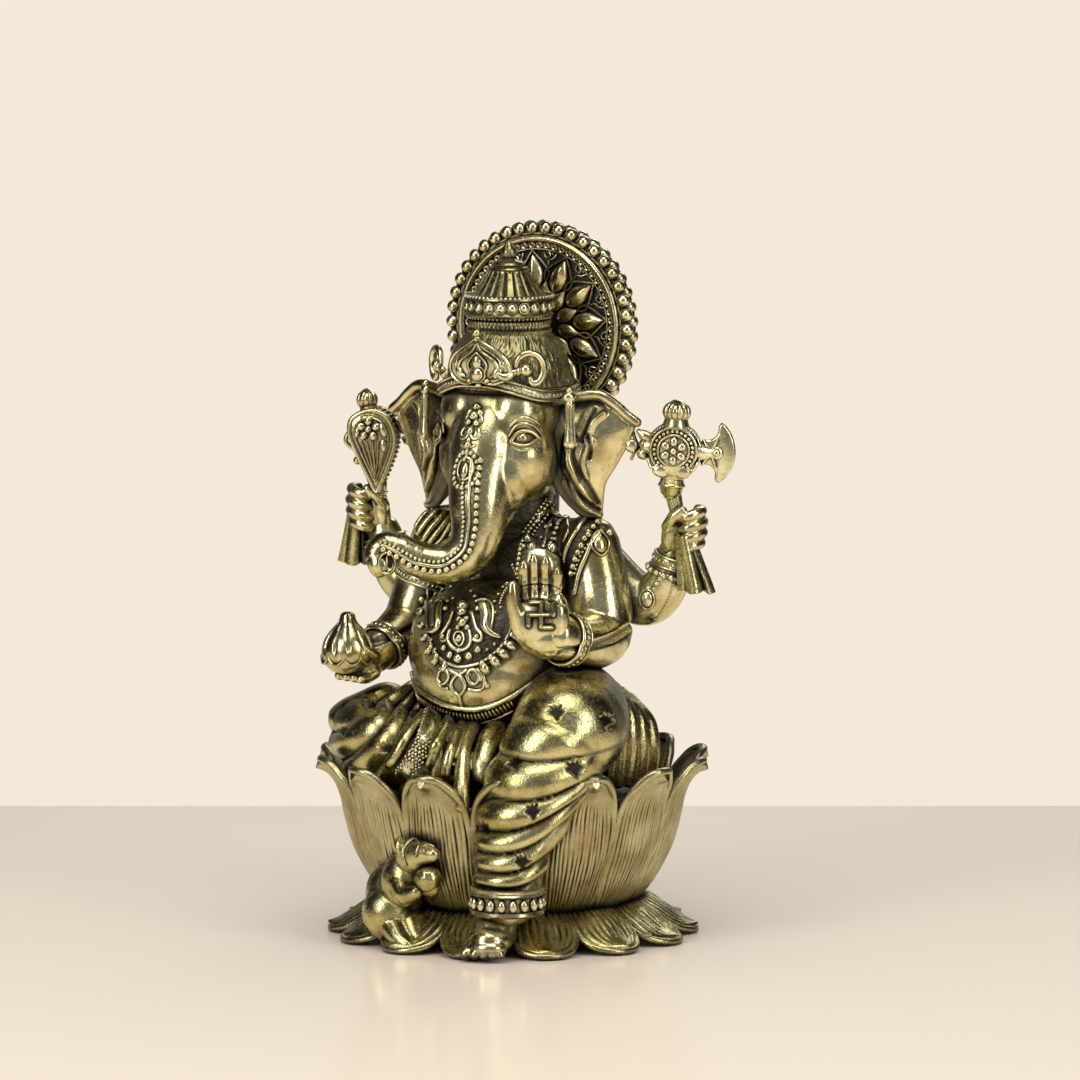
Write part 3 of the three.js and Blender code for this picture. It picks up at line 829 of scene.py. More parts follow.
# %% The stem that carries the halo from the shoulders
stem = rod([(0, 12.2, 80, 3.6), (0, 13.2, 90, 3.6), (0, 14, 100, 3.2), (0, 13.8, 107, 2.8)], sides=16)
back_rosette = round_the_dish(pointed_leaf(2.3, 8.5, 0.9, 0.3), 5.2, 8, 3.3, facing=(0, 1.0, 0))
back_ring = dish_ring(12.5, 3.3, 0.5, 0.6, sides=8)
finished(joined([stem, back_rosette, back_ring]), "halo_stem_and_back", ornament_brass, "ornament_brass", "halo_stem")


# %% [markdown]
# ## Crown and hair
# The crown is turned work: a fluted cone over a broad ring of round bosses, on a neck cut with
# upright lines, with a stack of collars and a swirled drop on top. It is spun like the pod, then
# the flutes are pressed in by the angle round the axis. Below it the hair is combed down in fine
# strands and ends in a fat roll above the band.

# %% The turned crown
crown_middle = casting_box("crown")[2]
CROWN_AXIS = (crown_middle[0], crown_middle[1])


def round_the_axis(places, axis=CROWN_AXIS):
    return np.arctan2(places[:, 0] - axis[0], -(places[:, 1] - axis[1]))


def press_in(places, depth, axis=CROWN_AXIS):
    """Moves points straight towards the axis by a depth for each."""
    out = places - [axis[0], axis[1], 0]
    out[:, 2] = 0
    return places - unit(out) * np.asarray(depth)[:, None]


cone = turned(
    [
        (0, 134.6), (7.0, 134.8), (7.35, 135.4), (7.0, 136), (6.1, 137.3), (5.2, 138.7), (4.3, 140.1), (3.8, 140.7),
        (0, 140.8),
    ],
    CROWN_AXIS, steps=160, step=0.25,
)
FLUTES = 18


def flute_depth(places):
    groove = np.abs(((round_the_axis(places) * FLUTES / FULL_TURN) % 1) - 0.5) * 2
    height = ease(134.9, 135.3, places[:, 2]) * (1 - ease(140.0, 140.5, places[:, 2]))
    return ease(0.62, 0.9, groove) * height


paint_patina(cone, flute_depth)
sculpt(cone, lambda places, _: press_in(places, 0.5 * flute_depth(places)))
ring = turned(
    [
        (0, 130.2), (8.1, 130.2), (8.5, 130.7), (9.2, 131.0), (9.4, 131.4), (8.9, 131.8), (8.75, 132.3), (8.75, 134.1),
        (8.9, 134.5), (9.6, 134.8), (9.5, 135.2), (8.2, 135.5), (0, 135.6),
    ],
    CROWN_AXIS, steps=96,
)
neck = turned([(0, 126), (8.9, 126.4), (8.4, 128.2), (8.3, 130.4), (0, 130.6)], CROWN_AXIS, steps=220, step=0.3)


NECK_LINES, STRANDS, LOCKS = 64, 120, 14


def neck_lines(places):
    return ease(0.1, 0.9, np.cos(round_the_axis(places) * NECK_LINES)) * (places[:, 2] > 126.2)


paint_patina(neck, lambda places: 0.85 * neck_lines(places))
sculpt(neck, lambda places, _: press_in(places, 0.22 * neck_lines(places)))
collars = turned(
    [
        (0, 140.2), (3.7, 140.3), (4.1, 140.8), (3.9, 141.2), (3.3, 141.4), (3.5, 141.8), (3.2, 142.3), (2.5, 142.6),
        (1.6, 142.8), (1.3, 143.2), (0, 143.4),
    ],
    CROWN_AXIS, steps=64,
)
drop = turned(
    [(0, 142.8), (1.1, 142.9), (1.65, 143.5), (1.75, 144.3), (1.5, 145.1), (0.9, 145.9), (0.3, 146.7), (0, 146.9)],
    CROWN_AXIS, steps=64, step=0.2,
)


def swirl(places):
    turn = round_the_axis(places) * 5 + (places[:, 2] - 142) * 1.6
    return ease(0.72, 1.0, np.cos(turn)) * (1 - ease(146, 146.8, places[:, 2]))


paint_patina(drop, lambda places: 0.8 * swirl(places))
sculpt(drop, lambda places, _: press_in(places, 0.2 * swirl(places)))
finished(joined([cone, ring, neck, collars, drop]), "crown_turnings", shaded_brass, "figure_brass", "crown")

# %% Bosses and beads on the crown
BOSSES = 22
boss = joined([
    ball((0, 0, 0.1), (1.05, 1.05, 0.75), around=14, down=8),
    bar(circle(1.12, 1.12, 16), 0.17, 0.26, FACING, sides=6, closed=True),
])
crown_rows = [
    copies(motif, *ring_places(radius, count, height, CROWN_AXIS)) for motif, radius, count, height in (
        (boss, 8.85, BOSSES, 133.2),
        (bead(0.36), 9.15, 60, 135.3),
        (ball((0, 0, 0.1), (0.32, 0.55, 0.35), around=8, down=6), 8.6, 60, 131.0),
        (ball((0, 0, 0.1), (0.3, 0.5, 0.3), around=8, down=6), 8.35, 56, 129.2),
    )
]
finished(joined(crown_rows), "crown_bosses", ornament_brass, "ornament_brass")

# %% The combed hair
hair = turned(
    [
        (0, 115.6), (13.0, 115.8), (13.9, 116.4), (14.0, 117.0), (13.6, 118.0), (12.9, 119.4), (12.7, 121.0),
        (11.9, 123.4), (10.5, 125.6), (9.0, 127.4), (8.4, 128.4), (0, 128.6),
    ],
    CROWN_AXIS, steps=400, step=0.34,
)


def strands(places):
    angle = round_the_axis(places)
    wander = 0.05 * grain(np.column_stack([angle * 6, places[:, 2] * 0.5, places[:, 2] * 0]), 3.0, 21)
    fine = ease(0.0, 0.9, np.cos((angle + wander) * STRANDS))
    which = np.round(angle * STRANDS / 6.28)
    broken = np.clip(0.55 + 0.6 * grain(np.column_stack([which * 2.0, places[:, 2], angle * 0]), 2.2, 25), 0, 1)
    return fine * broken, ease(0.6, 1.0, np.cos((angle + wander) * LOCKS))


def comb(places, _):
    fine, locks = strands(places)
    return press_in(places, 0.2 * fine + 0.12 * locks)


paint_patina(hair, lambda places: 0.75 * strands(places)[0])
sculpt(hair, comb)
finished(hair, "combed_hair", shaded_brass, "figure_brass", "hair")

# %% [markdown]
# ## The band round the forehead
# A flat band with two raised rims and a line of punched dots runs round the head, higher over the
# middle of the brow and lower at the temples. A pointed plate stands on it in front, with a
# flame, an oval stone and curled leaves, and a hooked curl with a ball stands on either side.

# %% The band
BAND_RADIUS = 14.6


def band_place(angle, lift=0.0, radius=BAND_RADIUS):
    """A point on the band, angle in degrees from the front towards the figure's left."""
    a = np.radians(np.asarray(angle, float))
    height = 118.6 - 3.3 * ease(6, 66, np.abs(angle)) + 0.4 * ease(80, 120, np.abs(angle))
    return np.stack([
        CROWN_AXIS[0] + radius * np.sin(a),
        CROWN_AXIS[1] - (radius + 0.6) * np.cos(a),
        height + lift,
    ], axis=-1)


def band_out(angle):
    a = np.radians(angle)
    return np.column_stack([np.sin(a), -np.cos(a), 0 * a])


BAND_TURN = np.arange(-180, 180, 3.0)
around_head = dict(normals=band_out(BAND_TURN), closed=True)
strap = bar(band_place(BAND_TURN, radius=BAND_RADIUS - 0.7), 1.2, 0.8, sides=12, **around_head)
rims = [bar(band_place(BAND_TURN, lift), 0.34, 0.4, sides=8, **around_head) for lift in (-1.1, 1.1)]
DOT_TURN = np.arange(-180, 180, 4.0)
dots = copies(
    ball((0, 0, 0), (0.3, 0.42, 0.32), around=8, down=6),
    band_place(DOT_TURN, radius=BAND_RADIUS + 0.05), band_out(DOT_TURN),
)
finished(joined([strap, *rims, dots]), "forehead_band", ornament_brass, "ornament_brass", "headband")

# %% The pointed plate, drawn flat and then set on the band
def flat_wire(points, width, height=None, lift=0.0, closed=False):
    """A wire in the plane of a flat ornament: points are x, y; Z is outwards."""
    path = smooth_path([(x, y, lift) for x, y in points], 0.3, closed)
    return bar(path, width, height, normals=FACING, sides=8, closed=closed)


def rounded_edges(made, width, segments=2, sharper_than=50):
    return apply_modifier(
        made, "BEVEL", width=width, segments=segments, limit_method="ANGLE", angle_limit=math.radians(sharper_than),
    )


def flat_plate(points, thickness):
    """A plate cut to an outline: one many-sided face, thickened and rounded at its edges."""
    outline = smooth_path(points, 0.5, closed=True)
    made = mesh_object([(x, y, 0) for x, y in outline[:, :2]], [tuple(range(len(outline)))])
    apply_modifier(made, "SOLIDIFY", thickness=thickness, offset=0)
    return rounded_edges(made, thickness * 0.3)


def turned_and_moved(part, turns, place):
    """Turns a part by degrees about one axis after another, then moves it."""
    for axis, angle in turns:
        part.data.transform(Matrix.Rotation(math.radians(angle), 4, axis))
    part.data.transform(Matrix.Translation(place))
    return part


def both_sides(points):
    """An outline's right half, from bottom to top, completed with its mirror image."""
    return points + [(-x, y) for x, y in points[::-1] if abs(x) > 1e-6]


SPADE = [(0, 0.2), (3.4, -0.6), (6.2, 0.9), (7.0, 3.6), (5.9, 6.4), (3.6, 8.6), (1.4, 10.2), (0, 11.6)]
spade_line = both_sides(SPADE)
STONE_TURNS = np.linspace(0, 5.9, 14)
plate = [
    flat_plate(spade_line, 1.2),
    flat_wire(spade_line, 0.46, 0.55, 0.45, closed=True),
    flat_wire([(x * 0.78, 0.9 + y * 0.8) for x, y in spade_line], 0.2, 0.3, 0.6, closed=True),
    flat_wire([(1.75 * math.cos(a), 2.0 + 2.05 * math.sin(a)) for a in STONE_TURNS], 0.28, 0.4, 0.8, closed=True),
    ball((0, 5.1, 0.6), (1.15, 1.9, 0.9)),
    ball((0, 2.0, 0.9), (1.45, 1.75, 0.95)),
    ball((0, -0.9, 0.6), (0.75, 0.6, 0.6)),
    ball((0, 12.6, 0.3), (1.0, 1.1, 0.95)),
    ball((0, 11.1, 0.5), (0.7, 0.8, 0.7)),
]
OUTER_FLAME = [(3.1, 1.4), (4.6, 2.6), (4.2, 5.0), (2.6, 6.6), (1.0, 8.0), (0.2, 9.6)]
INNER_FLAME = [(1.7, 2.6), (2.2, 4.4), (1.2, 6.3), (0.1, 7.6)]
for side in (1, -1):
    plate += [
        flat_wire([(side * x, y) for x, y in OUTER_FLAME], 0.42, 0.5, 0.7),
        flat_wire([(side * x, y) for x, y in INNER_FLAME], 0.3, 0.4, 0.9),
        ball((side * 4.4, 2.3, 0.7), (1.0, 1.5, 0.55), turn=(0, 0, -20 * side)),
        ball((side * 2.1, 0.3, 0.7), (0.62, 0.62, 0.6)),
        ball((side * 5.3, 4.4, 0.5), (0.7, 1.2, 0.4)),
    ]
plate = joined(plate)


def lay_on_brow(places, _):
    """Curves the flat plate round the head."""
    x, y, z = places.T
    return np.column_stack([x, y, z - 0.028 * x**2])


sculpt(plate, lay_on_brow)
plate.data.transform(Matrix.Diagonal((0.97, 0.82, 0.97, 1)))
turned_and_moved(plate, [("X", 96)], (0, -BAND_RADIUS - 1.2, 118.6))  # it leans back a little as it rises
turned_and_moved(plate, [("Z", 5)], (0, CROWN_AXIS[1], 0))
finished(plate, "brow_plate", ornament_brass, "ornament_brass")

# %% The hooked curls and the hanging tassels
def set_on_band(part, angle, lift, out):
    """Stands a flat ornament on the band so that it faces away from the head."""
    return turned_and_moved(part, [("X", 90), ("Z", angle)], band_place(angle, lift, BAND_RADIUS + out))


HOOK = smooth_path(
    [
        (-2.7, 0.9, 0), (-2.1, 2.6, 0), (-0.4, 3.6, 0), (1.7, 3.3, 0), (3.1, 1.6, 0), (3.2, -0.6, 0), (2.2, -2.4, 0),
        (0.9, -2.6, 0), (0.4, -1.6, 0),
    ],
    0.3,
)
hook_size = np.interp(np.linspace(0, 1, len(HOOK)), [0, 0.2, 0.6, 0.9, 1], [0.45, 0.75, 0.85, 0.75, 0.5])
left_curl = set_on_band(joined([
    bar(HOOK, hook_size, sides=12),
    ball((-0.6, 0.2, 0.3), (1.35, 1.3, 1.2)),
    rod([(-3.6, -0.4, 0, 0.7), (-2.4, -0.1, 0.1, 0.62), (-1.4, 0.1, 0.2, 0.8)]),
    ball((-2.3, -0.1, 0.2), (0.45, 0.95, 0.85)),
    rod([(-6.6, -0.6, 0, 0.5), (-5.2, -1.3, 0.1, 0.95), (-3.6, -0.7, 0.1, 0.7)]),
]), 44, 4.6, 0.9)
TASSEL_CORE = [(0, -0.6, 0.2, 0.8), (0, -1.6, 0.2, 0.95), (0, -5, 0.2, 0.95), (0, -8.2, 0.2, 1.2), (0, -9.4, 0.2, 1.35)]
left_tassel = joined([
    ball((0, 0.2, 0.2), (1.5, 1.2, 1.0)),
    ball((0, 1.6, 0.1), (0.85, 0.8, 0.8)),
    rod(TASSEL_CORE, sides=14),
    *[rod([(x, -1.6, 1.0, 0.16), (x, -5, 1.1, 0.16), (x * 1.25, -9.2, 1.35, 0.18)], sides=6) for x in (-0.6, 0, 0.6)],
    *[ball((x * 0.55, -9.6, 0.6), (0.42, 0.5, 0.6), around=10, down=7) for x in (-2, -0.7, 0.7, 2)],
    ball((0, -1.3, 0.3), (1.15, 0.35, 1.0)),
])
turned_and_moved(left_tassel, [("X", 90), ("Z", 50)], (17.0, -6.9, 114.8))
hanging = [left_curl, mirrored(left_curl), left_tassel, mirrored(left_tassel)]
finished(joined(hanging), "band_curls_and_tassels", ornament_brass, "ornament_brass")


# %% [markdown]
# ## The head
# The head is built up as in wax: a ball for the skull, two domes for an elephant's forehead, fat
# cheeks, and the trunk laid on as one tapering roll that hangs, sweeps to the figure's right and
# curls under at its tip. They are melted into one skin. The eyes are cut in after that, because
# lids thinner than a voxel would be lost in the melt.

# %% Head and trunk in one skin
TRUNK = [
    (0, -12.2, 104, 7.6), (0.2, -13.6, 99.5, 7.3), (0.7, -16.0, 93.5, 6.6), (1.0, -17.4, 87.8, 5.7),
    (-0.2, -18.9, 83, 5.0), (-4.2, -21.6, 80.4, 4.4), (-8.6, -24.6, 81.2, 3.9), (-12, -27, 83.4, 3.4),
    (-15, -28, 84.4, 3.1), (-16.7, -29.2, 82.8, 2.7), (-15.6, -30.4, 80.6, 2.4),
]
head = melt(
    [
        ball((0, -1.5, 109), (13, 13, 13.4), around=40, down=28),
        ball((0, -3.0, 112.4), (12.7, 12.3, 8.0), around=40, down=28),
        ball((5.2, -8.6, 111.4), (6.7, 6.6, 7.0)),
        ball((-5.2, -8.6, 111.4), (6.7, 6.6, 7.0)),
        ball((6.7, -7.0, 102.0), (6.9, 8.8, 9.6), turn=(8, 0, 0)),
        ball((-6.3, -6.6, 102.0), (6.5, 8.2, 9.4), turn=(8, 0, 0)),
        ball((0, -9.6, 102), (6.6, 9.2, 10.5)),
        ball((0, -10.8, 92.6), (4.6, 4.2, 3.8)),
        ball((8.4, -9.4, 108.6), (3.6, 2.6, 1.6), turn=(0, 10, 0)),
        ball((-8.4, -9.4, 108.6), (3.6, 2.6, 1.6), turn=(0, -10, 0)),
        rod([(0, -5.0, 114.5, 6.2), (0, -8.8, 110, 7.2), (0.1, -12.0, 104.5, 7.7), (0.1, -13.0, 101, 7.5)], sides=24),
        ball((5.8, -11.2, 98.6), (4.8, 5.6, 7.6)),
        ball((-4.8, -11.2, 98.6), (4.2, 5.2, 7.4)),
        ball((4.6, -11.4, 108.5), (4.0, 4.4, 6.0)),
        ball((-4.4, -11.2, 108.5), (3.8, 4.2, 6.0)),
        rod(TRUNK, sides=24, step=0.7),
        ball((-15.2, -30.9, 80.2), (2.5, 1.6, 2.6)),
    ],
    voxel=0.3, smoothing=34,
)
trunk_path = smooth_path(TRUNK, 0.4)


EYE_MARK = (2.3, 104.0)
RING_PITCH = 3.1  # from one ring of the trunk to the next


def trunk_creases(places, outward):
    """Shallow rings across the trunk, and sockets for the eyes."""
    core = trunk_path[::4]
    gap = np.linalg.norm(places[:, None, :] - core[None, :, :3], axis=2)
    closest = np.argmin(gap, axis=1)
    along = closest * 1.6
    on_trunk = (1 - ease(0.5, 2.0, gap.min(axis=1) - core[closest, 3])) * ease(14, 20, along)
    ripple = np.cos(along * FULL_TURN / RING_PITCH)
    move = -0.10 * on_trunk * ease(0.2, 1, ripple)
    for side in (-1, 1):
        socket = np.linalg.norm((places - [side * 9.3, -10.8, 105.6]) / [3.4, 3.4, 2.3], axis=1)
        move -= 0.7 * (1 - ease(0.3, 1.2, socket))
    return places + outward * move[:, None]


def about_the_eyes(places):
    left_side = np.column_stack([np.abs(places[:, 0]), places[:, 1:]])
    marks = np.column_stack([left_side @ RIGHTWARD, left_side @ UPWARD])
    gap = np.linalg.norm((marks - EYE_MARK) / [3.2, 2.1], axis=1)
    return 0.85 * (1 - ease(0.8, 1.15, gap))


paint_patina(head, about_the_eyes)
sculpt(head, trunk_creases)
head_skin = skin_of(head)
EYE = dropped(head_skin, [EYE_MARK])
print("eye at", EYE[0].round(1), "facing", EYE[1].round(2))
finished(head, "head_and_trunk", skin_brass, "figure_brass", "head", "trunk")

# %% [markdown]
# An eye is an almond: a ball let into the skin, a thick lid line above and below that meet in two
# points, and a second, higher crease. They are marked out flat and laid on the cheek.

# %% The eyes
def eye_parts():
    ex, ey = EYE_MARK
    almond_top = [(-3.1, -0.9), (-1.9, 0.7), (0.2, 1.35), (2.2, 0.9), (3.5, -0.1)]
    almond_low = [(-3.1, -0.9), (-1.4, -1.5), (0.8, -1.45), (2.4, -0.8), (3.5, -0.1)]
    crease = [(-3.6, 0.3), (-2.2, 2.2), (0.3, 2.9), (2.7, 2.1), (4.2, 0.6)]
    brow = [(-3.4, 2.2), (-1.2, 3.7), (1.6, 3.8), (4.0, 2.4)]
    eyeball = copies(ball((0, 0, -0.6), (1.9, 1.3, 1.15)), *EYE)
    paint_patina(eyeball, lambda places: np.full(len(places), 0.6))
    pupil = copies(ball((-0.1, 0.05, 0.42), (0.85, 0.8, 0.32)), *EYE)
    pouch = [(-3.2, -1.2), (-1.2, -2.5), (1.4, -2.3)]
    folds = ((almond_top, 0.46, 0.8), (almond_low, 0.36, 0.6), (crease, 0.34, 0.4), (brow, 0.36, 0.1), (pouch, 0.2, 0.1))
    lids = [
        wire_on(head_skin, [(ex + x * 0.85, ey + y * 1.1) for x, y in line], radius, rise) for line, radius, rise in folds
    ]
    return joined([eyeball, pupil, *lids])


left_eye = eye_parts()
right_eye = mirrored(left_eye)
right_eye.data.transform(Matrix.Translation((0, 1.5, 0)))
turned_and_moved(right_eye, [("Z", -9)], (0, -1.5, 0))
finished(joined([left_eye, right_eye]), "eyes", skin_brass, "figure_brass")

# %% [markdown]
# A raised cord runs down the middle of the trunk with a row of beads on either side, larger on
# the figure's left, and small jewels climb the forehead above it. The cord follows the trunk's own
# line: at each step a point is set out from the trunk's middle line towards its front, and the
# nearest place on the skin is taken.

# %% The beaded cord down the trunk
TRUNK_FRONT = np.array([0.14, -1.0, 0.06])
CORD_FIRST, CORD_LAST = 0.10, 0.90  # as shares of the trunk's length


def trunk_line(offset):
    """A line along the front of the trunk, turned round it by an offset in radians."""
    count = len(trunk_path)
    part = trunk_path[int(CORD_FIRST * (count - 1)) : int(CORD_LAST * (count - 1)) + 1]
    along = unit(np.gradient(part[:, :3], axis=0))
    front = unit(TRUNK_FRONT - along * (along @ TRUNK_FRONT)[:, None])
    across = np.cross(along, front)
    reach = unit(front * math.cos(offset) + across * math.sin(offset))
    aim = part[:, :3] + reach * (part[:, 3:4] + 0.6)
    points, normals = nearest(head_skin, smoothed(aim, 4))
    return smoothed(points, 3), unit(smoothed(normals, 3))


cord_points, cord_normals = trunk_line(0.0)
cord = bar(cord_points + cord_normals * 0.12, 0.46, 0.5, normals=cord_normals, sides=8)


def bead_line(offset, radius):
    line, _ = trunk_line(offset)
    points, along = every(line, radius * 2.02)
    feet, out = nearest(head_skin, points)
    return copies(bead(radius, 0.35), feet, out, ups=along)


larger = bead_line(-0.25, 0.78)
smaller = bead_line(0.22, 0.5)
finished(joined([cord, larger, smaller]), "trunk_cord_and_beads", ornament_brass, "ornament_brass")

# %% Jewels on the forehead and the nostrils
brow_points = [
    (0, -19, 115.2), (-1.6, -19, 113.6), (1.6, -19, 113.6), (0, -19, 112.4), (-1.0, -19, 110.6), (1.1, -19, 110.4),
]
marks, mark_out = nearest(head_skin, brow_points)
jewels = [copies(bead(0.85, 0.4), marks, mark_out, sizes=[1.2, 1.0, 1.0, 1.3, 0.9, 0.9])]


def front_line(points, radius, rise=0.3):
    """A wire on the forehead through x, z points."""
    path = smooth_path([(x, -19.5, z) for x, z in points], 0.4)
    feet, out = nearest(head_skin, path)
    return bar(smoothed(feet) + out * radius * rise, radius, normals=out, sides=8)


DROP_HEIGHT, BEFORE_BROW = 100.2, -20.5
jewels += [
    front_line([(-2.2, 112.2), (-1.0, 111.2), (0, 112.6), (1.0, 111.2), (2.2, 112.2)], 0.38),
    front_line([(0, 106.6), (0, 103.4)], 0.5),
    front_line([(-1.6, 105.4), (0, 104.6), (1.6, 105.4)], 0.3),
    front_line([(1.5 * math.sin(a), DROP_HEIGHT + 2.6 * math.cos(a)) for a in np.linspace(0, FULL_TURN, 20)], 0.36, 0.5),
]
CUP = [(2.0, 109.2), (2.4, 107.6), (1.2, 106.6), (0.2, 107.6), (0.2, 109.4)]
LEAFLET = [(0.3, 113.4), (2.2, 113.0), (2.6, 111.6), (1.3, 111.2), (0.6, 112.2)]
for side in (-1, 1):
    jewels.append(front_line([(side * x, z) for x, z in CUP], 0.42))
    jewels.append(front_line([(side * x, z) for x, z in LEAFLET], 0.4, 0.5))
ring_turns = np.radians(np.arange(0, 360, 20))
ring_x, ring_z = 2.7 * np.sin(ring_turns), DROP_HEIGHT + 3.9 * np.cos(ring_turns)
ring_marks = np.column_stack([ring_x, 0 * ring_x + BEFORE_BROW, ring_z])
jewels.append(copies(bead(0.62, 0.35), *nearest(head_skin, ring_marks)))
feet, out = nearest(head_skin, [(0, BEFORE_BROW, z) for z in (DROP_HEIGHT - 0.2, DROP_HEIGHT + 5.4, 109.0)])
jewels.append(copies(ball((0, 0, 0.4), (0.9, 1.7, 0.8)), feet[:1], out[:1]))
jewels.append(copies(bead(0.9, 0.35), feet[1:], out[1:]))
finished(joined(jewels), "forehead_jewels", ornament_brass, "ornament_brass")
trunk_tip = dropped(head_skin, [(-26.2, 77.9)])[0]
rim = bar(circle(1.75, 2.2, 24, 0.1), 0.42, 0.5, FACING, sides=8, closed=True)
nostril_ring = copies(joined([rim, ball((0, 0, 0), (0.32, 1.7, 0.5))]), trunk_tip, TOWARD_EYE)
# Painted shade: the nostril holes are dark ovals on the uncut skin, dark with their patina and with the shade inside a
# hole.
holes = joined([ball((side * 0.72, 0, -0.05), (0.5, 1.25, 0.2)) for side in (-1, 1)])
nostrils = copies(holes, trunk_tip, TOWARD_EYE)
finished(nostril_ring, "nostril_ring", skin_brass, "figure_brass")
finished(nostrils, "nostrils", blackened_brass, "figure_brass")


# %% [markdown]
# ## The body
# Belly, chest, shoulders, neck and the two front arms are one casting to the eye, with soft folds
# where they meet. They are set down as balls and tapering rods and melted together. The arms keep
# their sharp elbow folds, which are pressed in afterwards.

# %% Body and front arms in one skin
body = melt(
    [
        ball((0, 3, 46), (18, 14, 11.5)),
        ball((0, -5, 61), (20, 19, 16), around=48, down=32),
        ball((0, -8, 56.5), (17.5, 16.4, 14), around=40, down=28),
        ball((0, 2, 77), (16.5, 11.5, 14)),
        ball((13, 2.5, 82), (8, 7, 6.5)),
        ball((-13, 2.5, 82), (8, 7, 6.5)),
        ball((0, 0, 91), (9.5, 9, 8)),
        ball((7.5, -7, 79), (7.5, 5, 6)),
        ball((-7.5, -7, 79), (7.5, 5, 6)),
        rod([(17.5, 1, 83, 6.6), (19.8, 0, 77, 6.4), (21.6, -1.5, 71, 6.6), (22.8, -3, 65.5, 6.4)], sides=28),
        rod([(22.8, -3.6, 64.8, 6.3), (22.9, -9, 64.2, 6), (22, -15, 65, 5.3), (21.2, -19.4, 66.5, 4.7)], sides=28),
        rod([(-17.5, 1, 83, 6.4), (-20, 0.5, 77, 6.2), (-22, -0.5, 71, 5.9), (-23.2, -2.5, 65.5, 5.6)], sides=28),
        rod([
            (-23.2, -2.8, 65, 5.6), (-24.2, -7, 62.6, 5.2), (-25.4, -11.6, 60.2, 4.6), (-26.2, -14.5, 58.6, 4),
        ], sides=28),
    ],
    voxel=0.42, smoothing=8,
)


def from_left_elbow(x, y, z):
    """How far above or below the crease of the left elbow, which slopes across the arm."""
    return np.abs(z - (67.3 + 0.18 * (y + 3) - 0.1 * (x - 22)))


def body_folds(places, outward):
    """The creases of the two elbows."""
    x, y, z = places.T
    fold = (1 - ease(0.0, 1.3, from_left_elbow(x, y, z))) * ease(13, 15.5, x) * ease(-16, -9, -y)
    other = np.abs(z - (66.0 + 0.3 * (y + 3)))
    fold += (1 - ease(0.0, 1.0, other)) * ease(15, 18, -x) * ease(2.0, 6.0, -y)
    return places - outward * (0.9 * fold)[:, None]


def elbow_patina(places):
    x, y, z = places.T
    return 0.8 * (1 - ease(0.1, 0.6, from_left_elbow(x, y, z))) * ease(14, 16, x) * (y < 4)


paint_patina(body, elbow_patina)
sculpt(body, body_folds)
body_skin = skin_of(body)

# %% [markdown]
# The breast ornament lies on a black ground inside a U-shaped wire. The ground is a mark painted
# into the body's patina: every point that, seen from the show side, falls inside the outline.

# %% Blackened grounds, and painted shade under the belly
U_LINE = [
    (-18.1, 72.7), (-18, 67.8), (-17.7, 63.7), (-16.9, 60.7), (-15.4, 58.4), (-13.5, 57.1), (-11.3, 56.3),
    (-9, 56.5), (-6.4, 57.3), (-4.2, 58.8), (-2.1, 60.8), (-0.4, 64), (0.5, 67.4), (0.7, 71.2),
]
CHEST_GROUND = U_LINE[:-2] + [(1.8, 69.7), (3.7, 81.3), (9.7, 91.4), (3.7, 93.7), (-3.8, 82.4), (-7.5, 74.9)]
BIB_GROUND = [
    (-20.7, 74.2), (-21, 67.4), (-20.2, 61.4), (-18, 56.9), (-15.4, 53.9), (-11.3, 50.2), (-9, 51.3), (-5.7, 52.8),
    (-3.8, 55), (-0, 57.7), (2.2, 60.7), (3, 65.2), (1.8, 69.7),
]
STRAP_GROUND = [
    (2.6, 80.9), (3.7, 81.3), (6, 91), (9.3, 92.9), (15.3, 87.7), (19.5, 84.7), (16.5, 79.4), (13.5, 71.2),
    (10.8, 72.7), (9.7, 78.7), (6.7, 80.5),
]


def inside(outline, marks, soft=0.35):
    """How far inside an outline each (across, up) mark lies, 0 outside and 1 well inside."""
    outline = np.asarray(outline, float)
    hit = np.zeros(len(marks), bool)
    gap = np.full(len(marks), 1e9)
    for (ax, ay), (bx, by) in zip(outline, np.roll(outline, -1, axis=0)):
        crosses = (ay > marks[:, 1]) != (by > marks[:, 1])
        with np.errstate(divide="ignore", invalid="ignore"):
            where = ax + (marks[:, 1] - ay) * (bx - ax) / (by - ay)
        hit ^= crosses & (marks[:, 0] < where)
        side = np.array([bx - ax, by - ay])
        share = np.clip(((marks - [ax, ay]) @ side) / (side @ side), 0, 1)
        gap = np.minimum(gap, np.linalg.norm(marks - [ax, ay] - share[:, None] * side, axis=1))
    return np.where(hit, ease(0, soft, gap), 0)


def seen_marks(places):
    return np.column_stack([places @ RIGHTWARD, places @ UPWARD])


def seen_front(outward):
    return ease(0.0, 0.25, outward @ TOWARD_EYE)


def grounds_and_belly_shade(places):
    marks, near = seen_marks(places), ease(-4, 0, places @ TOWARD_EYE)
    patches = inside(BIB_GROUND, marks) * 0.75
    patches = np.maximum(patches, inside(CHEST_GROUND, marks))
    patches = np.maximum(patches, inside(STRAP_GROUND, marks))
    patches = patches * (0.95 + 0.08 * grain(places, 0.9, 77))
    # Painted shade: the body is painted dark below the belly, where it meets the lap.
    shade_under_belly = 0.9 * (1 - ease(43, 47, places[:, 2] + 0.18 * places[:, 1]))
    return np.maximum(patches * near, shade_under_belly)


paint_patina(body, grounds_and_belly_shade)
finished(body, "body_and_front_arms", skin_brass, "figure_brass", "torso", "left_arm", "right_arm")

# %% The breast ornament
ground = body_skin
parts = [
    wire_on(ground, U_LINE, 0.42, 0.5),
    wire_on(ground, [(u, v - 0.95) for u, v in U_LINE[1:-2]], 0.22, 0.5),
]


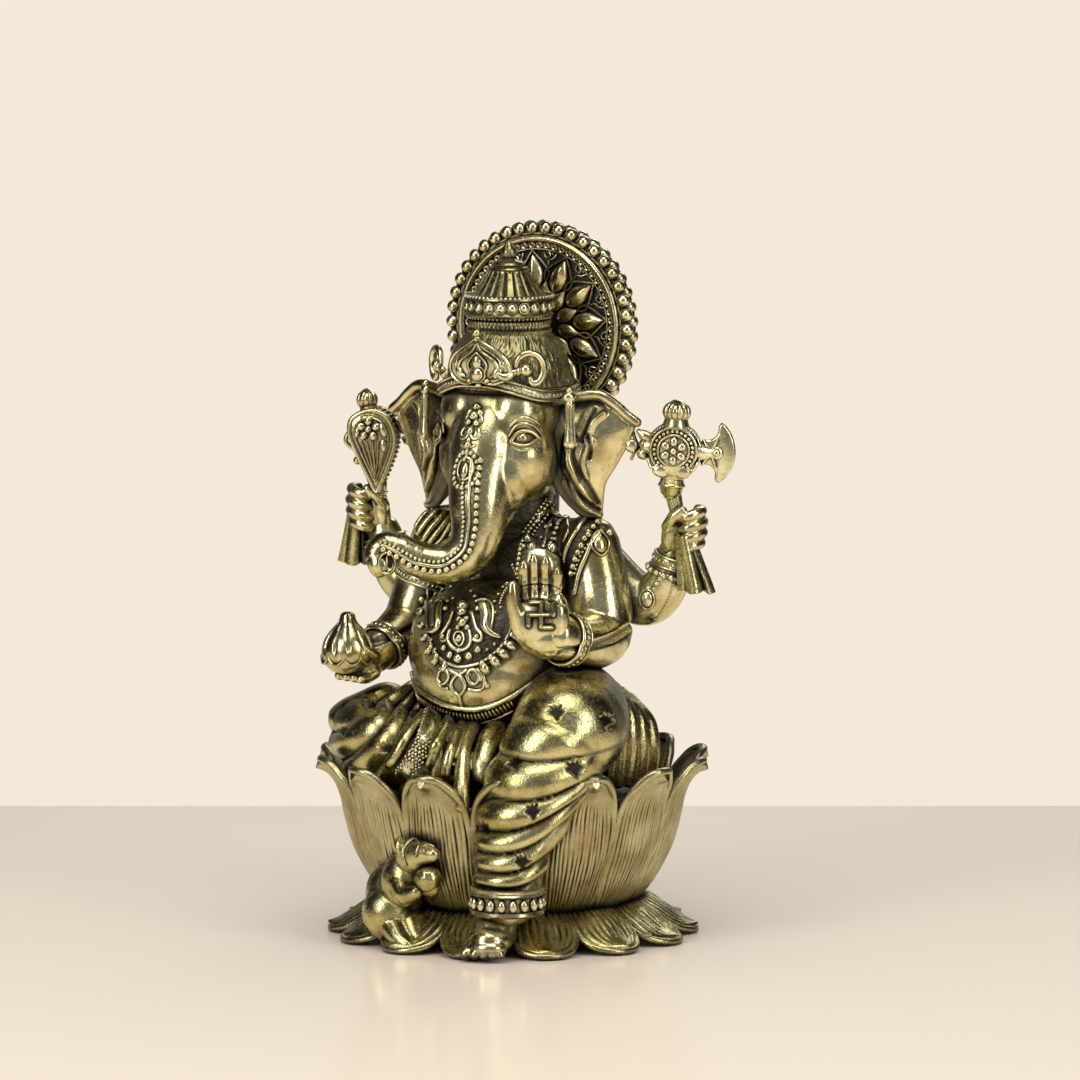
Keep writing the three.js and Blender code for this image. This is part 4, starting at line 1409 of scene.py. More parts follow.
def loop_on(skin, middle, across, up, radius, turn=0.0, point=0.0):
    """A closed wire ring, drawn round or pointed at its lower end."""
    angles = np.linspace(0, FULL_TURN, 14, endpoint=False)
    marks = []
    for a in angles:
        x, y = across * math.cos(a), up * math.sin(a)
        if point and math.sin(a) < 0:
            x *= 1 - point * math.sin(a) ** 2
        c, s = math.cos(turn), math.sin(turn)
        marks.append((middle[0] + x * c - y * s, middle[1] + x * s + y * c))
    return wire_on(skin, marks, radius, 0.6, closed=True)


for middle, turn in zip([(-14.4, 54.2), (-8.2, 54.2)], (-0.15, 0.2)):
    parts.append(loop_on(ground, middle, 1.15, 1.55, 0.42, turn, 0.35))
diamond = [(-11.3, 54.7), (-9.8, 52.4), (-11.1, 50.5), (-12.8, 52.4)]
parts.append(wire_on(ground, diamond, 0.42, 0.6, closed=True))
parts.append(wire_on(ground, [(-11.1, 50.5), (-10.8, 49.2), (-10.5, 47.7)], 0.4, 0.6))
parts += [
    wire_on(ground, line, 0.42, 0.6)
    for line in (
        [(-15, 55.8), (-15.6, 53.9), (-15, 52), (-13.5, 51.8)],
        [(-7.2, 55.8), (-6, 54.3), (-6, 52), (-7.5, 51.3), (-9, 51.7)],
        [(-13.2, 55.8), (-12, 55), (-11.3, 54.7)],
        [(-9.6, 55.6), (-10.5, 55), (-11.3, 54.7)],
    )
]
claws = zip(
    [
        (-19.1, 67.4), (-18.9, 64.8), (-18.3, 62.2), (-17.3, 59.7), (-15.9, 57.7), (-14.1, 56.2), (-5.7, 56),
        (-3.6, 57.5), (-1.8, 59), (-0.4, 60.7), (0.8, 62.5), (1.8, 64.4), (-19.2, 70), (-5.3, 52.4), (-6.7, 53.9),
    ],
    (1.5, 1.5, 1.5, 1.55, 1.55, 1.3, 1.7, 1.8, 1.75, 1.6, 1.5, 1.3, 1.3, 0.9, 0.9),
)
claw_marks, claw_sizes = zip(*claws)
feet, out = dropped(ground, claw_marks)
middle_of_u = dropped(ground, [(-10.2, 65.2)])[0][0]
claw = joined([
    ball((0, 0, 0.25), (0.62, 0.9, 0.62), around=12, down=8),
    ball((0, 0.75, 0.45), (0.42, 0.45, 0.42), around=10, down=7),
])
parts.append(copies(claw, feet, out, ups=middle_of_u - feet, sizes=claw_sizes))
parts.append(beads_on(ground, [(u, v - 1.9) for u, v in U_LINE[2:11]], 0.26, 0.9))
finished(joined(parts), "breast_collar", ornament_brass, "ornament_brass")

# %% The jewel inside the collar
parts = []
tusks = (
    [(-15.2, 68.7), (-15.5, 66.7), (-15.3, 64.8), (-16.1, 63.7), (-17.5, 63.4)],
    [(-6, 68.7), (-5.5, 66.7), (-5.6, 64.6), (-4.3, 63.1), (-2.8, 62.5)],
)
for line in tusks:
    path = smooth_path(line, 0.3)
    feet, out = dropped(ground, path)
    size = np.interp(np.linspace(0, 1, len(feet)), [0, 0.5, 1], [1.25, 1.05, 0.45])
    parts.append(bar(smoothed(feet, 3) + out * 0.5, size, normals=out, sides=12))
hoops = (
    [(-13.5, 69.7), (-15, 70.4), (-16.3, 69.3), (-16.7, 67), (-16.5, 64.8)],
    [(-7.5, 69.7), (-5.8, 70.2), (-4.3, 69.1), (-4.1, 66.7), (-4.5, 64)],
    [(-12.4, 67.4), (-13.2, 65.2), (-13.9, 64), (-15, 62.5), (-14.3, 61.4), (-13.3, 62.2)],
    [(-8.5, 67.4), (-7.9, 65.2), (-7.5, 64), (-6.2, 62.9), (-6.8, 61.4), (-8.1, 62)],
    [(-13, 63.7), (-13.5, 61.8), (-12.4, 60.3), (-10.9, 59.7), (-9.2, 60.3), (-8.5, 62), (-9, 63.7)],
)
parts += [wire_on(ground, line, 0.46, 0.7) for line in hoops]
parts.append(loop_on(ground, (-11.1, 62.1), 1.05, 1.5, 0.34, 0.1, 0.5))
spots = [
    (-10.3, 68.5), (-10.4, 67.4), (-11.1, 66.1), (-9.6, 66.1), (-10.3, 65.3), (-11.3, 64.4), (-9.4, 64.4),
    (-11.1, 62.1), (-13.9, 68.2), (-7.2, 68.2), (-14.5, 62.5), (-7.5, 62.5), (-11.1, 59.7),
]
spot_sizes = (1.5, 1.3, 0.85, 0.85, 1.25, 0.8, 0.8, 1.1, 0.8, 0.85, 0.75, 0.8, 0.75)
parts.append(set_on(ground, spots, bead(0.85, 0.45, 14, 10), sizes=spot_sizes))
arc = [(-14.2, 60.2), (-12.9, 58.8), (-11.2, 58.1), (-9, 58.6), (-7.2, 59.9)]
parts.append(set_on(ground, arc, bead(0.82, 0.5, 14, 10), sizes=(0.85, 1.0, 1.2, 1.1, 1.05)))
small = [
    (-16.2, 71.2), (-14.7, 72.1), (-13, 72.7), (-16.9, 69.7), (-12.4, 70.4), (-7.9, 70.8), (-8.7, 71.9),
    (-3.8, 69.7), (-3, 71.2), (-2.5, 68.5), (-3.6, 67.4), (-2.1, 72.7), (-16.9, 61.8), (-16, 59.9), (-3.8, 61),
    (-5.3, 59.9),
]
parts.append(set_on(ground, small, bead(0.46, 0.4)))
finished(joined(parts), "breast_jewel", ornament_brass, "ornament_brass")

# %% [markdown]
# A tapering braid of beads hangs from behind the ear to the chest, and three plain straps with
# beads between them cross the shoulder and meet under a leaf-shaped clasp.

# %% Straps and bead ropes on the shoulder
parts = []
straps = (
    [(15.5, 87.5), (13.5, 84.7), (11.6, 81.3), (10.7, 78.3)],
    [(18.7, 84.8), (16.5, 82.4), (15.5, 79.8), (14, 76), (13.1, 71.5)],
    [(8.6, 88), (7.5, 86.2), (6.9, 83.9), (6.3, 81.3)],
    [(11.6, 88.8), (11.4, 86.5), (11.8, 84.7), (10.8, 82.4)],
)
parts += [wire_on(ground, line, radius, 0.6) for line, radius in zip(straps, (0.5, 0.5, 0.4, 0.36))]
bead_ropes = (
    ([(17.6, 86.2), (15.7, 84.1), (14.4, 81.7), (13.3, 79), (12.5, 75.7)], 0.78, 1.6),
    ([(9.7, 86.9), (9.2, 84.7), (8.2, 82.8), (7.5, 81.3)], 0.62, 1.35),
    ([(16.3, 82.4), (14.8, 80.5), (13.8, 78.3), (13.1, 75.7)], 0.4, 1.0),
    ([(7.8, 91.4), (6, 88.8), (4.3, 86.2), (3, 83.9), (1.8, 81.7), (1.3, 78.7), (0.9, 75.7)], 0.55, 1.05),
    ([(6.7, 91), (4.8, 88.4), (3.3, 86.2), (2.2, 84.3)], 0.42, 0.9),
    ([(8.6, 90.7), (6.9, 88), (5.2, 85.6), (4.1, 83.7)], 0.42, 0.9),
    ([(-0, 77.5), (0.5, 76.4), (1.1, 74.9)], 0.4, 0.8),
    ([(-1.2, 72.7), (-2.1, 71.2), (-2.7, 69.3)], 0.38, 0.85),
)
parts += [beads_on(ground, line, radius, spacing) for line, radius, spacing in bead_ropes]
big = [
    (3, 82.7), (8, 80.9), (5.8, 82.9), (8.8, 82.8), (2.2, 81.3), (-1.3, 73.2), (3.9, 81.3), (7.5, 90.8),
    (13.1, 79.2),
]
collared = joined([bead(0.85, 0.5, 14, 10), bar(circle(0.95, 0.95, 16, 0.15), 0.2, 0.25, FACING, sides=6, closed=True)])
parts.append(set_on(ground, big, collared, sizes=(1.0, 1.0, 0.6, 0.6, 0.6, 0.8, 0.8, 0.8, 0.6)))
clasp = joined([
    ball((0, 0, 0.25), (1.5, 1.9, 0.8)),
    ball((0, 1.9, 0.2), (0.6, 1.0, 0.5)),
    flat_wire(
        [(0, 2.9), (-1.5, 1.6), (-2.0, 0), (-1.2, -1.7), (0, -2.4), (1.2, -1.7), (2.0, 0), (1.5, 1.6)],
        0.3, 0.4, 0.2, closed=True,
    ),
    ball((-2.4, 2.2, 0.2), (0.7, 0.7, 0.6)),
    ball((2.3, 2.4, 0.2), (0.8, 0.7, 0.6)),
])
parts.append(set_on(ground, [(18.2, 81.8)], clasp))


def cord_round(skin, line, width, height, lift=0.2, sides=8):
    """A flattened cord laid on the nearest skin along a line, for sides that the eye does not see."""
    feet, out = nearest(skin, line)
    return bar(smoothed(feet) + out * lift, width, height, normals=out, sides=sides)


back_line = [(12, 9, 88), (9, 11.5, 84), (4, 13.5, 79), (-3, 14, 75), (-10, 12.5, 72), (-16, 9, 69)]
parts.append(cord_round(ground, smooth_path(back_line), 0.55, 0.4))
SHOULDER_LINE = ((9.5, -5, 89.5), (11.5, 0, 90), (10, 5.5, 89), (5, 9.2, 87.5), (0, 10.4, 87))
for side in (-1, 1):
    line = smooth_path([(side * x, y, z) for x, y, z in SHOULDER_LINE])
    parts.append(cord_round(ground, line, 0.5, 0.45))
    points, along = every(smooth_path(line[::8] - [0, 0, 1.6]), 1.25)
    parts.append(copies(bead(0.55), *nearest(ground, points), ups=along))
finished(joined(parts), "shoulder_straps_and_beads", ornament_brass, "ornament_brass")

# %% Hair behind the shoulder, the chest ties and the armlets
parts = []
for k, line in enumerate((
    [(-14.3, 90.3), (-15.8, 88.8), (-17.7, 86.9), (-19.7, 84.3)],
    [(-13.9, 88.8), (-15.2, 87.3), (-17.1, 85.2), (-18.8, 82.8)],
    [(-13.5, 87.3), (-14.7, 85.8), (-16.2, 83.9), (-17.7, 82)],
    [(-14.8, 91), (-16.7, 89.5), (-18.8, 87.7), (-20.2, 85.6)],
    [(-13.3, 85.8), (-14.1, 84.3), (-15, 82.8), (-16.2, 81.7)],
)):
    parts.append(wire_on(ground, line, 0.85 - 0.06 * k, 0.35))
finished(joined(parts), "side_locks", cloth_brass, "figure_brass")


def cuff(skin, at, way, reach, width, rims, bead_radius):
    """A cuff laid round a limb: a flat band, raised rims if asked, and a row of beads."""
    along = unit(way)
    side = unit(np.cross(along, [0.2, 0.3, 1.0]))
    lift = np.cross(side, along)
    turns = np.linspace(0, FULL_TURN, 48, endpoint=False)
    ring = np.array(at, float) + np.outer(np.cos(turns), side) * reach + np.outer(np.sin(turns), lift) * reach
    out = unit(ring - at)
    feet, _ = nearest(skin, ring)
    feet = feet - np.outer((feet - at) @ along, along)
    made = [bar(feet + out * 0.1, width, 0.42, normals=out, sides=12, closed=True)]
    if rims:
        for edge in (-width * 0.86, width * 0.86):
            made.append(bar(feet + out * 0.35 + along * edge, 0.3, 0.36, normals=out, sides=8, closed=True))
    points = every(np.vstack([feet, feet[:1]]), bead_radius * 2.15)[0][:-1]
    outs = unit(points - at)
    made.append(copies(bead(bead_radius, 0.3), points + outs * 0.3, outs, ups=along))
    return joined(made)


bands = [
    cuff(ground, (21.7, -16.6, 65.7), (-0.7, -3.6, 1.0), 5.4, 1.5, True, 0.5),
    cuff(ground, (-25.2, -10.6, 60.6), (-0.9, -4.4, -2.2), 5.0, 1.3, True, 0.5),
    cuff(ground, (-21.0, 0, 74.2), (-2.0, -0.4, -6.0), 6.4, 1.0, True, 0.42),
]
finished(joined(bands), "front_arm_bands", ornament_brass, "ornament_brass")


# %% [markdown]
# ## Hands
# The blessing hand faces the eye, with its four fingers together and its thumb apart. Each finger
# is a rod whose radius swells at the pads and pinches at the joints. The hand is modelled flat to
# the bench, with its palm towards the maker, melted, and then turned to face outwards.

# %% The blessing hand
def finger(x, reach, thick, lean):
    """One straight finger from the palm up, with three pads."""
    steps = [(0, 1.0), (0.18, 1.06), (0.34, 0.86), (0.5, 1.02), (0.64, 0.84), (0.8, 0.97), (0.93, 0.85), (1, 0.6)]
    pads = [(x + lean * t * reach, 0.2 - 1.5 * t**2, 0.4 + reach * t, thick * size) for t, size in steps]
    return rod(pads, sides=16, step=0.3)


THUMB = [(-3.9, -1.2, -3.2, 2.0), (-5.0, -1.9, 0.2, 1.6), (-5.3, -2.2, 2.6, 1.4), (-5.3, -2.3, 4.6, 1.05)]
FINGERS = ((-2.9, 8.6, 1.28, -0.02), (-0.9, 10.0, 1.32, 0.0), (1.3, 9.6, 1.3, 0.02), (3.5, 7.4, 1.2, 0.05))
BETWEEN_FINGERS, KNUCKLES = (-1.9, 0.2, 2.4), (1.6, 4.6)
hand = melt(
    [
        ball((0.3, 0, -3.6), (6.0, 3.0, 6.6), around=36, down=24),
        ball((1.6, 0.6, -7.0), (4.6, 3.5, 4.2)),
        ball((4.1, -0.7, -2.4), (2.3, 2.5, 5.4)),
        ball((-3.5, -0.9, -3.6), (2.5, 2.3, 4.6), turn=(0, -12, 0)),
        rod(THUMB, sides=16, step=0.3),
        *[finger(*sizes) for sizes in FINGERS],
    ],
    voxel=0.22, smoothing=5,
)


def hand_creases(places, gap, gap_end, knuckle_from, knuckle_width):
    """How deep in a gap between two fingers, and in a crease across them, each point lies."""
    x, _, z = places.T
    gaps = sum(1 - ease(0.05, gap, np.abs(x - at)) for at in BETWEEN_FINGERS) * ease(0.6, gap_end, z)
    bends = sum(1 - ease(knuckle_from, knuckle_width, np.abs(z - at + 0.04 * x**2)) for at in KNUCKLES)
    return gaps, bends * ease(-4.2, -3.6, x)


def palm_lines(places, outward):
    gaps, bends = hand_creases(places, 0.32, 1.8, 0.05, 0.3)
    depth = ease(0.2, 0.7, -outward[:, 1]) * (0.35 * np.clip(gaps, 0, 1) + 0.3 * np.clip(bends, 0, 1))
    return places - outward * depth[:, None]


def palm_paint(places):
    gaps, bends = hand_creases(places, 0.24, 2, 0.04, 0.2)
    return np.clip(0.8 * gaps + 0.6 * bends, 0, 0.9) * (places[:, 1] < 0.4)


paint_patina(hand, palm_paint)
sculpt(hand, palm_lines)
HAND_PLACE = (18.2, -22.6, 73)
turned_and_moved(hand, [("Z", 22)], HAND_PLACE)
SIGN_MIDDLE, SIGN_REACH = np.array([5.9, 67.2]), 2.6
SIGN_STROKES = [SIGN_MIDDLE + SIGN_REACH * np.array(stroke, float) for stroke in (
    [(-0.85, 1), (0, 1), (0, 0), (0, -1), (0.85, -1)],
    [(-1, -0.85), (-1, 0), (0, 0), (1, 0), (1, 0.85)],
)]
sign_walks = [np.vstack([np.linspace(a, b, 9)[:-1] for a, b in zip(s[:-1], s[1:])] + [s[-1:]]) for s in SIGN_STROKES]


# Painted shade and patina: the palm is painted dark in a ring round the strokes, where shade falls at their foot.
def sign_patina_and_shade(places):
    marks = seen_marks(places)
    gap = np.linalg.norm(marks[:, None] - np.vstack(sign_walks)[None], axis=2).min(axis=1)
    return 0.95 * (1 - ease(0.75, 1.15, gap)) * ease(-2.5, -1.5, (places - HAND_PLACE) @ TOWARD_EYE)


paint_patina(hand, sign_patina_and_shade)
palm_skin = skin_of(hand)
finished(hand, "open_hand", skin_brass, "figure_brass", "blessing_hand")

# %% [markdown]
# The palm carries the old auspicious cross of the Hindu tradition in relief, made of two bent
# strokes of wire that cross. Round it lies a dark ring painted into the palm: patina, as on the
# cast one, and painted shade at the foot of the strokes.

# %% The sign on the palm
lines = []
for walk in sign_walks:
    feet, out = dropped(palm_skin, walk)
    depth = feet @ TOWARD_EYE
    level = np.median(depth)
    flat = feet + np.outer(np.maximum(level - depth, 0) * 0.8, TOWARD_EYE)
    lines.append(bar(flat + TOWARD_EYE * 0.4, 0.5, 0.8, normals=TOWARD_EYE, sides=8))
finished(joined(lines), "palm_sign", skin_brass, "figure_brass")

# %% [markdown]
# The two back arms rise from behind the shoulders. Each forearm is a thick rod, its fist is a
# rounded block round which four fingers are wrapped one above the other, and a thumb closes it.

# %% The back arms
def back_arm(side, name, casting):
    """A back arm with two cuffs at its wrist; side is 1 for the figure's left."""
    arm = melt([rod([(side * x, y, z, r) for x, y, z, r in ARM_BENDS], sides=28)], voxel=0.35, smoothing=4)
    skin = skin_of(arm)
    wrist, way = np.array([side * 34.4, 7.2, 80.2]), (side * 1.4, 0, 4.6)
    rings = [
        cuff(skin, wrist, way, WRIST_RADIUS + 0.8, 1.25, True, 0.45),
        cuff(skin, wrist - unit(way) * 2.6, way, WRIST_RADIUS + 1.2, 0.5, False, 0.7),
    ]
    finished(arm, name, skin_brass, "figure_brass", casting)
    return skin, rings


ARM_BENDS = [
    (14, 4.5, 82, 5.8), (18, 5.6, 78, 5.9), (23, 6.8, 73.4, 5.6), (27.6, 7.2, 71.2, 5.3), (31.2, 7.2, 73.4, 4.9),
    (33.6, 7.2, 77.6, 4.4), (35, 7.1, 82.4, 3.7),
]
WRIST_RADIUS = ARM_BENDS[-1][3]
left_arm_skin, left_rings = back_arm(1, "back_left_arm_skin", "back_left_arm")
_, right_rings = back_arm(-1, "back_right_arm_skin", "back_right_arm")
oval = joined([
    ball((0, 0, 0.15), (1.3, 1.7, 0.7)),
    flat_wire([(1.6 * math.cos(a), 2.05 * math.sin(a)) for a in np.linspace(0, 5.9, 14)], 0.22, 0.3, 0.1, closed=True),
])
seam = [(33.4, 73.5), (32.8, 71.3), (31.7, 68.8), (30, 66.2)]
leaf_marks = [(31.3, 78), (33.2, 76.9), (35.2, 75.8), (30, 73.5), (28.3, 72.6)]
rings = [
    *left_rings, *right_rings,
    set_on(left_arm_skin, [(28.1, 70.3)], oval),
    beads_on(left_arm_skin, seam, 0.22, 0.75),
    set_on(left_arm_skin, leaf_marks, ball((0, 0, 0.1), (0.5, 0.9, 0.45), around=12, down=8), ups=(1.0, 0, 0.6)),
]
finished(joined(rings), "back_arm_bands", ornament_brass, "ornament_brass")


# %% The fists
def fist():
    """A right-hand side fist for the left back arm, gripping along Z, fingers towards -Y."""
    block = [
        ball((0, 0.4, -1.6), (3.4, 2.9, 5.0)),
        ball((-1.9, -0.9, -0.5), (1.9, 2.0, 4.8), turn=(0, 6, 0)),
        rod([(-2.6, -1.6, 0.6, 1.35), (-1.4, -2.7, 2.7, 1.25), (0.4, -3.0, 4.4, 1.05)], sides=14, step=0.3),
    ]
    for k in range(4):
        z = 3.9 - 2.25 * k
        push = (0.0, 0.45, 0.5, 0.2)[k]
        block.append(rod([
            (0.3 + push * 0.4, -2.6, z - 1.3, 0.9), (1.7 + push, -3.2, z - 0.7, 1.12), (3.4 + push, -2.2, z + 0.1, 1.2),
            (4.2 + push, -0.2, z + 0.5, 1.15), (3.2 + push, 1.8, z + 0.5, 1.1),
        ], sides=14, step=0.3))
    return melt(block, voxel=0.24, smoothing=3)


def placed_fist(place, turn, lean, name, casting, other_side=False):
    made = fist()
    if other_side:
        twin = mirrored(made)
        bpy.data.objects.remove(made)
        made = twin
    turned_and_moved(made, [("Y", lean), ("Z", turn)], place)
    finished(made, name, skin_brass, "figure_brass", casting)


placed_fist((36.6, 5.8, 87.0), 20, 4, "left_fist", "back_left_hand")
placed_fist((-36.8, 5.6, 87.6), 20, -4, "right_fist", "back_right_hand", other_side=True)

# %% The hand that holds the sweet
offering = melt(
    [
        ball((-27.2, -17.0, 56.6), (4.4, 5.2, 2.9), turn=(-10, 0, 10)),
        ball((-26.4, -14.2, 58.2), (3.8, 3.8, 3.4)),
        *[
            rod([
                (-29.0 + k * 1.9, -17.8, 56.2 - 0.15 * k, 1.2), (-29.6 + k * 1.9, -20.2, 55.3 - 0.15 * k, 1.1),
                (-29.6 + k * 1.8, -22.4, 55.3 - 0.15 * k, 0.95),
            ], sides=14, step=0.4)
            for k in range(4)
        ],
        rod([(-24.4, -16, 58.2, 1.5), (-22.9, -18.8, 59.4, 1.3), (-23.4, -21.4, 60.8, 1.0)], sides=14, step=0.4),
    ],
    voxel=0.3, smoothing=4,
)
finished(offering, "offering_palm", skin_brass, "figure_brass", "offering_hand")

# %% [markdown]
# The sweet is a dumpling with a gathered top: a round belly whose skin is pleated up to a twisted
# tip. It is spun, and the pleats are pressed in by the angle round it, deeper towards the tip.

# %% The sweet
SWEET = (-28.4, -20.6)
sweet = turned(
    [
        (0, 55.6), (2.8, 55.9), (4.9, 57.8), (5.5, 60.4), (4.9, 63.0), (3.3, 65.2), (2.2, 66.4), (1.7, 67.4),
        (1.5, 68.2), (0.8, 68.7), (0, 68.7),
    ],
    SWEET, steps=140, step=0.3,
)


def pleats(places):
    turn = round_the_axis(places, SWEET) * 11 + (places[:, 2] - 60) * 0.12
    return ease(0.55, 1.0, np.cos(turn)) * ease(59.4, 62.5, places[:, 2])


paint_patina(sweet, lambda places: 0.85 * ease(0.4, 1, pleats(places)))
sculpt(sweet, lambda places, _: press_in(places, 0.55 * pleats(places) * ease(0.4, 1.4, 70 - places[:, 2]), SWEET))
LEAF_HALF, RIM_RADIUS = 0.36, 5.45  # half the angle of a leaf under the sweet, and how far out its rim lies
a = np.linspace(-LEAF_HALF, LEAF_HALF, 13)
rim_z = 59.6 - 1.6 * (1 - (a / LEAF_HALF) ** 2)
leaf_rim = []
for angle in np.radians(np.arange(0, 360, 40)):
    x, y = SWEET[0] + RIM_RADIUS * np.sin(angle + a), SWEET[1] - RIM_RADIUS * np.cos(angle + a)
    leaf_rim.append(bar(np.column_stack([x, y, rim_z]), 0.3, 0.3, sides=8))
finished(joined([sweet, *leaf_rim]), "pleated_sweet", skin_brass, "figure_brass", "offered_sweet")


# %% [markdown]
# ## Ears
# An ear is a sheet between an inner edge and an outer edge, puffed out in the middle, with S-shaped
# folds near the head. A fat roll runs along its top to a rounded tip and two thin wires follow its
# lower edge. Sheet and rolls are melted together. The right ear is the mirror image of the left.

# %% One ear
EAR_ROOT, EAR_SWEEP = (12, -3, 104.4), 0.3
INNER_EDGE = [
    (-1.0, 8.8), (-1.5, 5.6), (-1.8, 2.4), (-1.8, -0.8), (-1.2, -4.6), (0.6, -9.4), (3.8, -13.4), (6.6, -15.4),
]
OUTER_EDGE = [
    (4.6, 10.2), (11.6, 9.4), (16.6, 5.6), (15.2, 1.6), (13.0, -2.8), (10.4, -7.0), (9.3, -11.4), (9.0, -15.4),
]
EAR_RIDGES = (
    [(13.6, 104.3), (11.7, 102.1), (11.4, 99.7), (12.5, 96.7), (14.3, 93.6), (16.1, 91.1)],
    [(16.5, 103.2), (15.1, 100.7), (14.7, 98.7), (15.4, 95.7)],
    [(10.4, 97.2), (11, 94.1), (12.9, 91.4), (15.4, 89.3), (18, 88)],
    [(15.9, 105.5), (17, 107.5), (19, 109)],
)
EAR_GROOVES = (
    [(12.9, 103.5), (12.6, 100.7), (13.3, 98.2), (14.9, 95.4), (16.7, 92.6), (17.9, 90.3)],
    [(11, 100.7), (10.9, 98.2), (11.7, 95.2), (13.6, 92.6), (16.1, 90.3), (18.1, 88.8)],
    [(14, 103.5), (15.4, 106.3), (16.1, 108.3), (17, 110.1)],
    [(11, 104.3), (10.7, 101.7), (10.4, 98.7), (10.3, 95.7)],
    [(15.4, 104.3), (16.2, 101.7), (15.9, 99.7)],
    [(11.6, 105.8), (12.9, 104.3), (14.3, 103.2)],
)


EAR_ROLL = [
    (-2.6, -1.0, 8.0, 1.1), (0.8, -1.6, 9.6, 1.2), (4.8, -1.9, 10.6, 1.25), (9.2, -1.8, 10.9, 1.2),
    (12.4, -1.6, 9.2, 1.15), (15.0, -1.6, 7.0, 1.1), (17.3, -1.8, 5.3, 1.1),
]
EAR_WIRES = (
    [
        (16.6, -1.0, 5.0, 0.7), (14.9, -0.6, 0.8, 0.6), (12.4, -0.4, -3.8, 0.6), (10.1, -0.2, -7.6, 0.6),
        (9.4, 0.4, -11.4, 0.6), (9.0, 1.0, -15.2, 0.6),
    ],
    [
        (-1.2, -1.6, -2.6, 0.6), (-0.4, -1.9, -6.4, 0.6), (1.6, -1.6, -10.4, 0.6), (4.9, -0.8, -13.8, 0.6),
        (8.8, 0.4, -15.2, 0.6),
    ],
    [(0.8, -1.8, -4.6, 0.42), (2.0, -1.9, -8.6, 0.42), (4.4, -1.4, -11.8, 0.42), (7.2, -0.6, -13.4, 0.42)],
)


def near_any(places, lines, width):
    """1 on any of the lines marked out from the show side, and 0 a width away from them."""
    marks = seen_marks(places)
    gaps = []
    for line in lines:
        path = smooth_path([(u, v, 0) for u, v in line], 0.3)[:, :2]
        gaps.append(np.linalg.norm(marks[:, None] - path[None], axis=2).min(axis=1))
    return 1 - ease(0, width, np.min(gaps, axis=0))


def root_patina(places):
    """The ear is black where it folds towards the head."""
    low_edge = np.interp(places[:, 2], [-15, -12, -8, -4, 0, 8], [6.4, 4.2, 2.4, 1.6, 1.2, 0.2])
    return 0.85 * (1 - ease(0.2, 2.6, places[:, 0] - low_edge)) * ease(-3.2, -2.4, places[:, 1])


def ear_folds(places, outward):
    lift = 0.8 * near_any(places, EAR_RIDGES, 1.1) - 0.7 * near_any(places, EAR_GROOVES, 0.7)
    return places + outward * (lift * seen_front(outward))[:, None]


def ear():
    rows, columns = 90, 70
    inner = smooth_path([(x, 0, z) for x, z in INNER_EDGE], 0.1)
    outer = smooth_path([(x, 0, z) for x, z in OUTER_EDGE], 0.1)
    t, s = np.linspace(0, 1, rows), np.linspace(0, 1, columns)
    pick = lambda path: path[np.round(t * (len(path) - 1)).astype(int)]
    place = pick(inner)[:, None] * (1 - s)[None, :, None] + pick(outer)[:, None] * s[None, :, None]
    across, down = np.meshgrid(s, t)
    puff = 2.2 * np.sin(math.pi * np.clip(across * 1.05, 0, 1)) ** 0.7
    puff *= np.sin(math.pi * np.clip(down * 0.92 + 0.06, 0, 1))
    cup = -1.3 * (1 - ease(0.05, 0.3, down))
    wave = across - 0.10 - 0.05 * np.sin(down * 9)
    near_head = (1 - ease(0.26, 0.42, across)) * ease(0.1, 0.3, down) * (1 - ease(0.75, 0.95, down))
    folds = 0.75 * np.cos(np.clip(wave * 26, -7, 7)) * near_head
    lower_bend = 1.4 * ease(0.75, 1.0, down) * across
    place[..., 1] = -(puff + cup + folds) + lower_bend
    faces = [
        (i * columns + j, i * columns + j + 1, (i + 1) * columns + j + 1, (i + 1) * columns + j)
        for i in range(rows - 1) for j in range(columns - 1)
    ]
    sheet = mesh_object(place.reshape(-1, 3), faces)
    apply_modifier(sheet, "SOLIDIFY", thickness=1.5, offset=0)
    rolls = [rod(EAR_ROLL, sides=16, step=0.4), *[rod(wire, sides=10, step=0.4) for wire in EAR_WIRES]]
    made = melt([sheet, *rolls], voxel=0.26, smoothing=5)
    paint_patina(made, root_patina)
    made.data.transform(Matrix.Rotation(EAR_SWEEP, 4, "Z"))
    made.data.transform(Matrix.Translation(EAR_ROOT))
    paint_patina(made, lambda places: 0.95 * near_any(places, EAR_GROOVES, 0.75) ** 0.6)
    return sculpt(made, ear_folds)


left_ear = ear()
right_ear = mirrored(left_ear)
finished(left_ear, "left_ear_leaf", skin_brass, "figure_brass", "left_ear")
finished(right_ear, "right_ear_leaf", skin_brass, "figure_brass", "right_ear")

# %% [markdown]
# ## Axe and goad
# Both stand in the back hands like stems with heads. They are chased in relief on both faces, so
# each is modelled lying flat with its face up, one face is turned over for the other side, and the
# whole is stood up to face the eye.

# %% Standing a flat ornament up
def stood(part, turn, place, roll=0.0):
    """Flat X and Y become across and up; the face then looks to a side given in degrees."""
    return turned_and_moved(part, [("Z", roll), ("X", 90), ("Z", turn)], place)


RIB_DEPTH = 0.1  # as a share of the bulb's radius


def fluted_bulb(middle, radius, height, ribs=13):
    """A melon-shaped knob with a point, its ribs pressed in round its own axis along Y."""
    bulb = ball((0, 0, 0), (radius, radius, height), around=104, down=28)

    def rib(places, _):
        angle = np.arctan2(places[:, 1], places[:, 0])
        groove = ease(0.35, 1.0, np.cos(angle * ribs)) * (1 - ease(0.75, 1.0, np.abs(places[:, 2]) / height))
        point = 0.25 * ease(0.85, 1.0, places[:, 2] / height)
        shrink = 1 - np.outer(groove, [RIB_DEPTH, RIB_DEPTH, 0])
        return places * shrink + np.outer(point, SKYWARD)

    return turned_and_moved(sculpt(bulb, rib), [("X", -90)], middle)


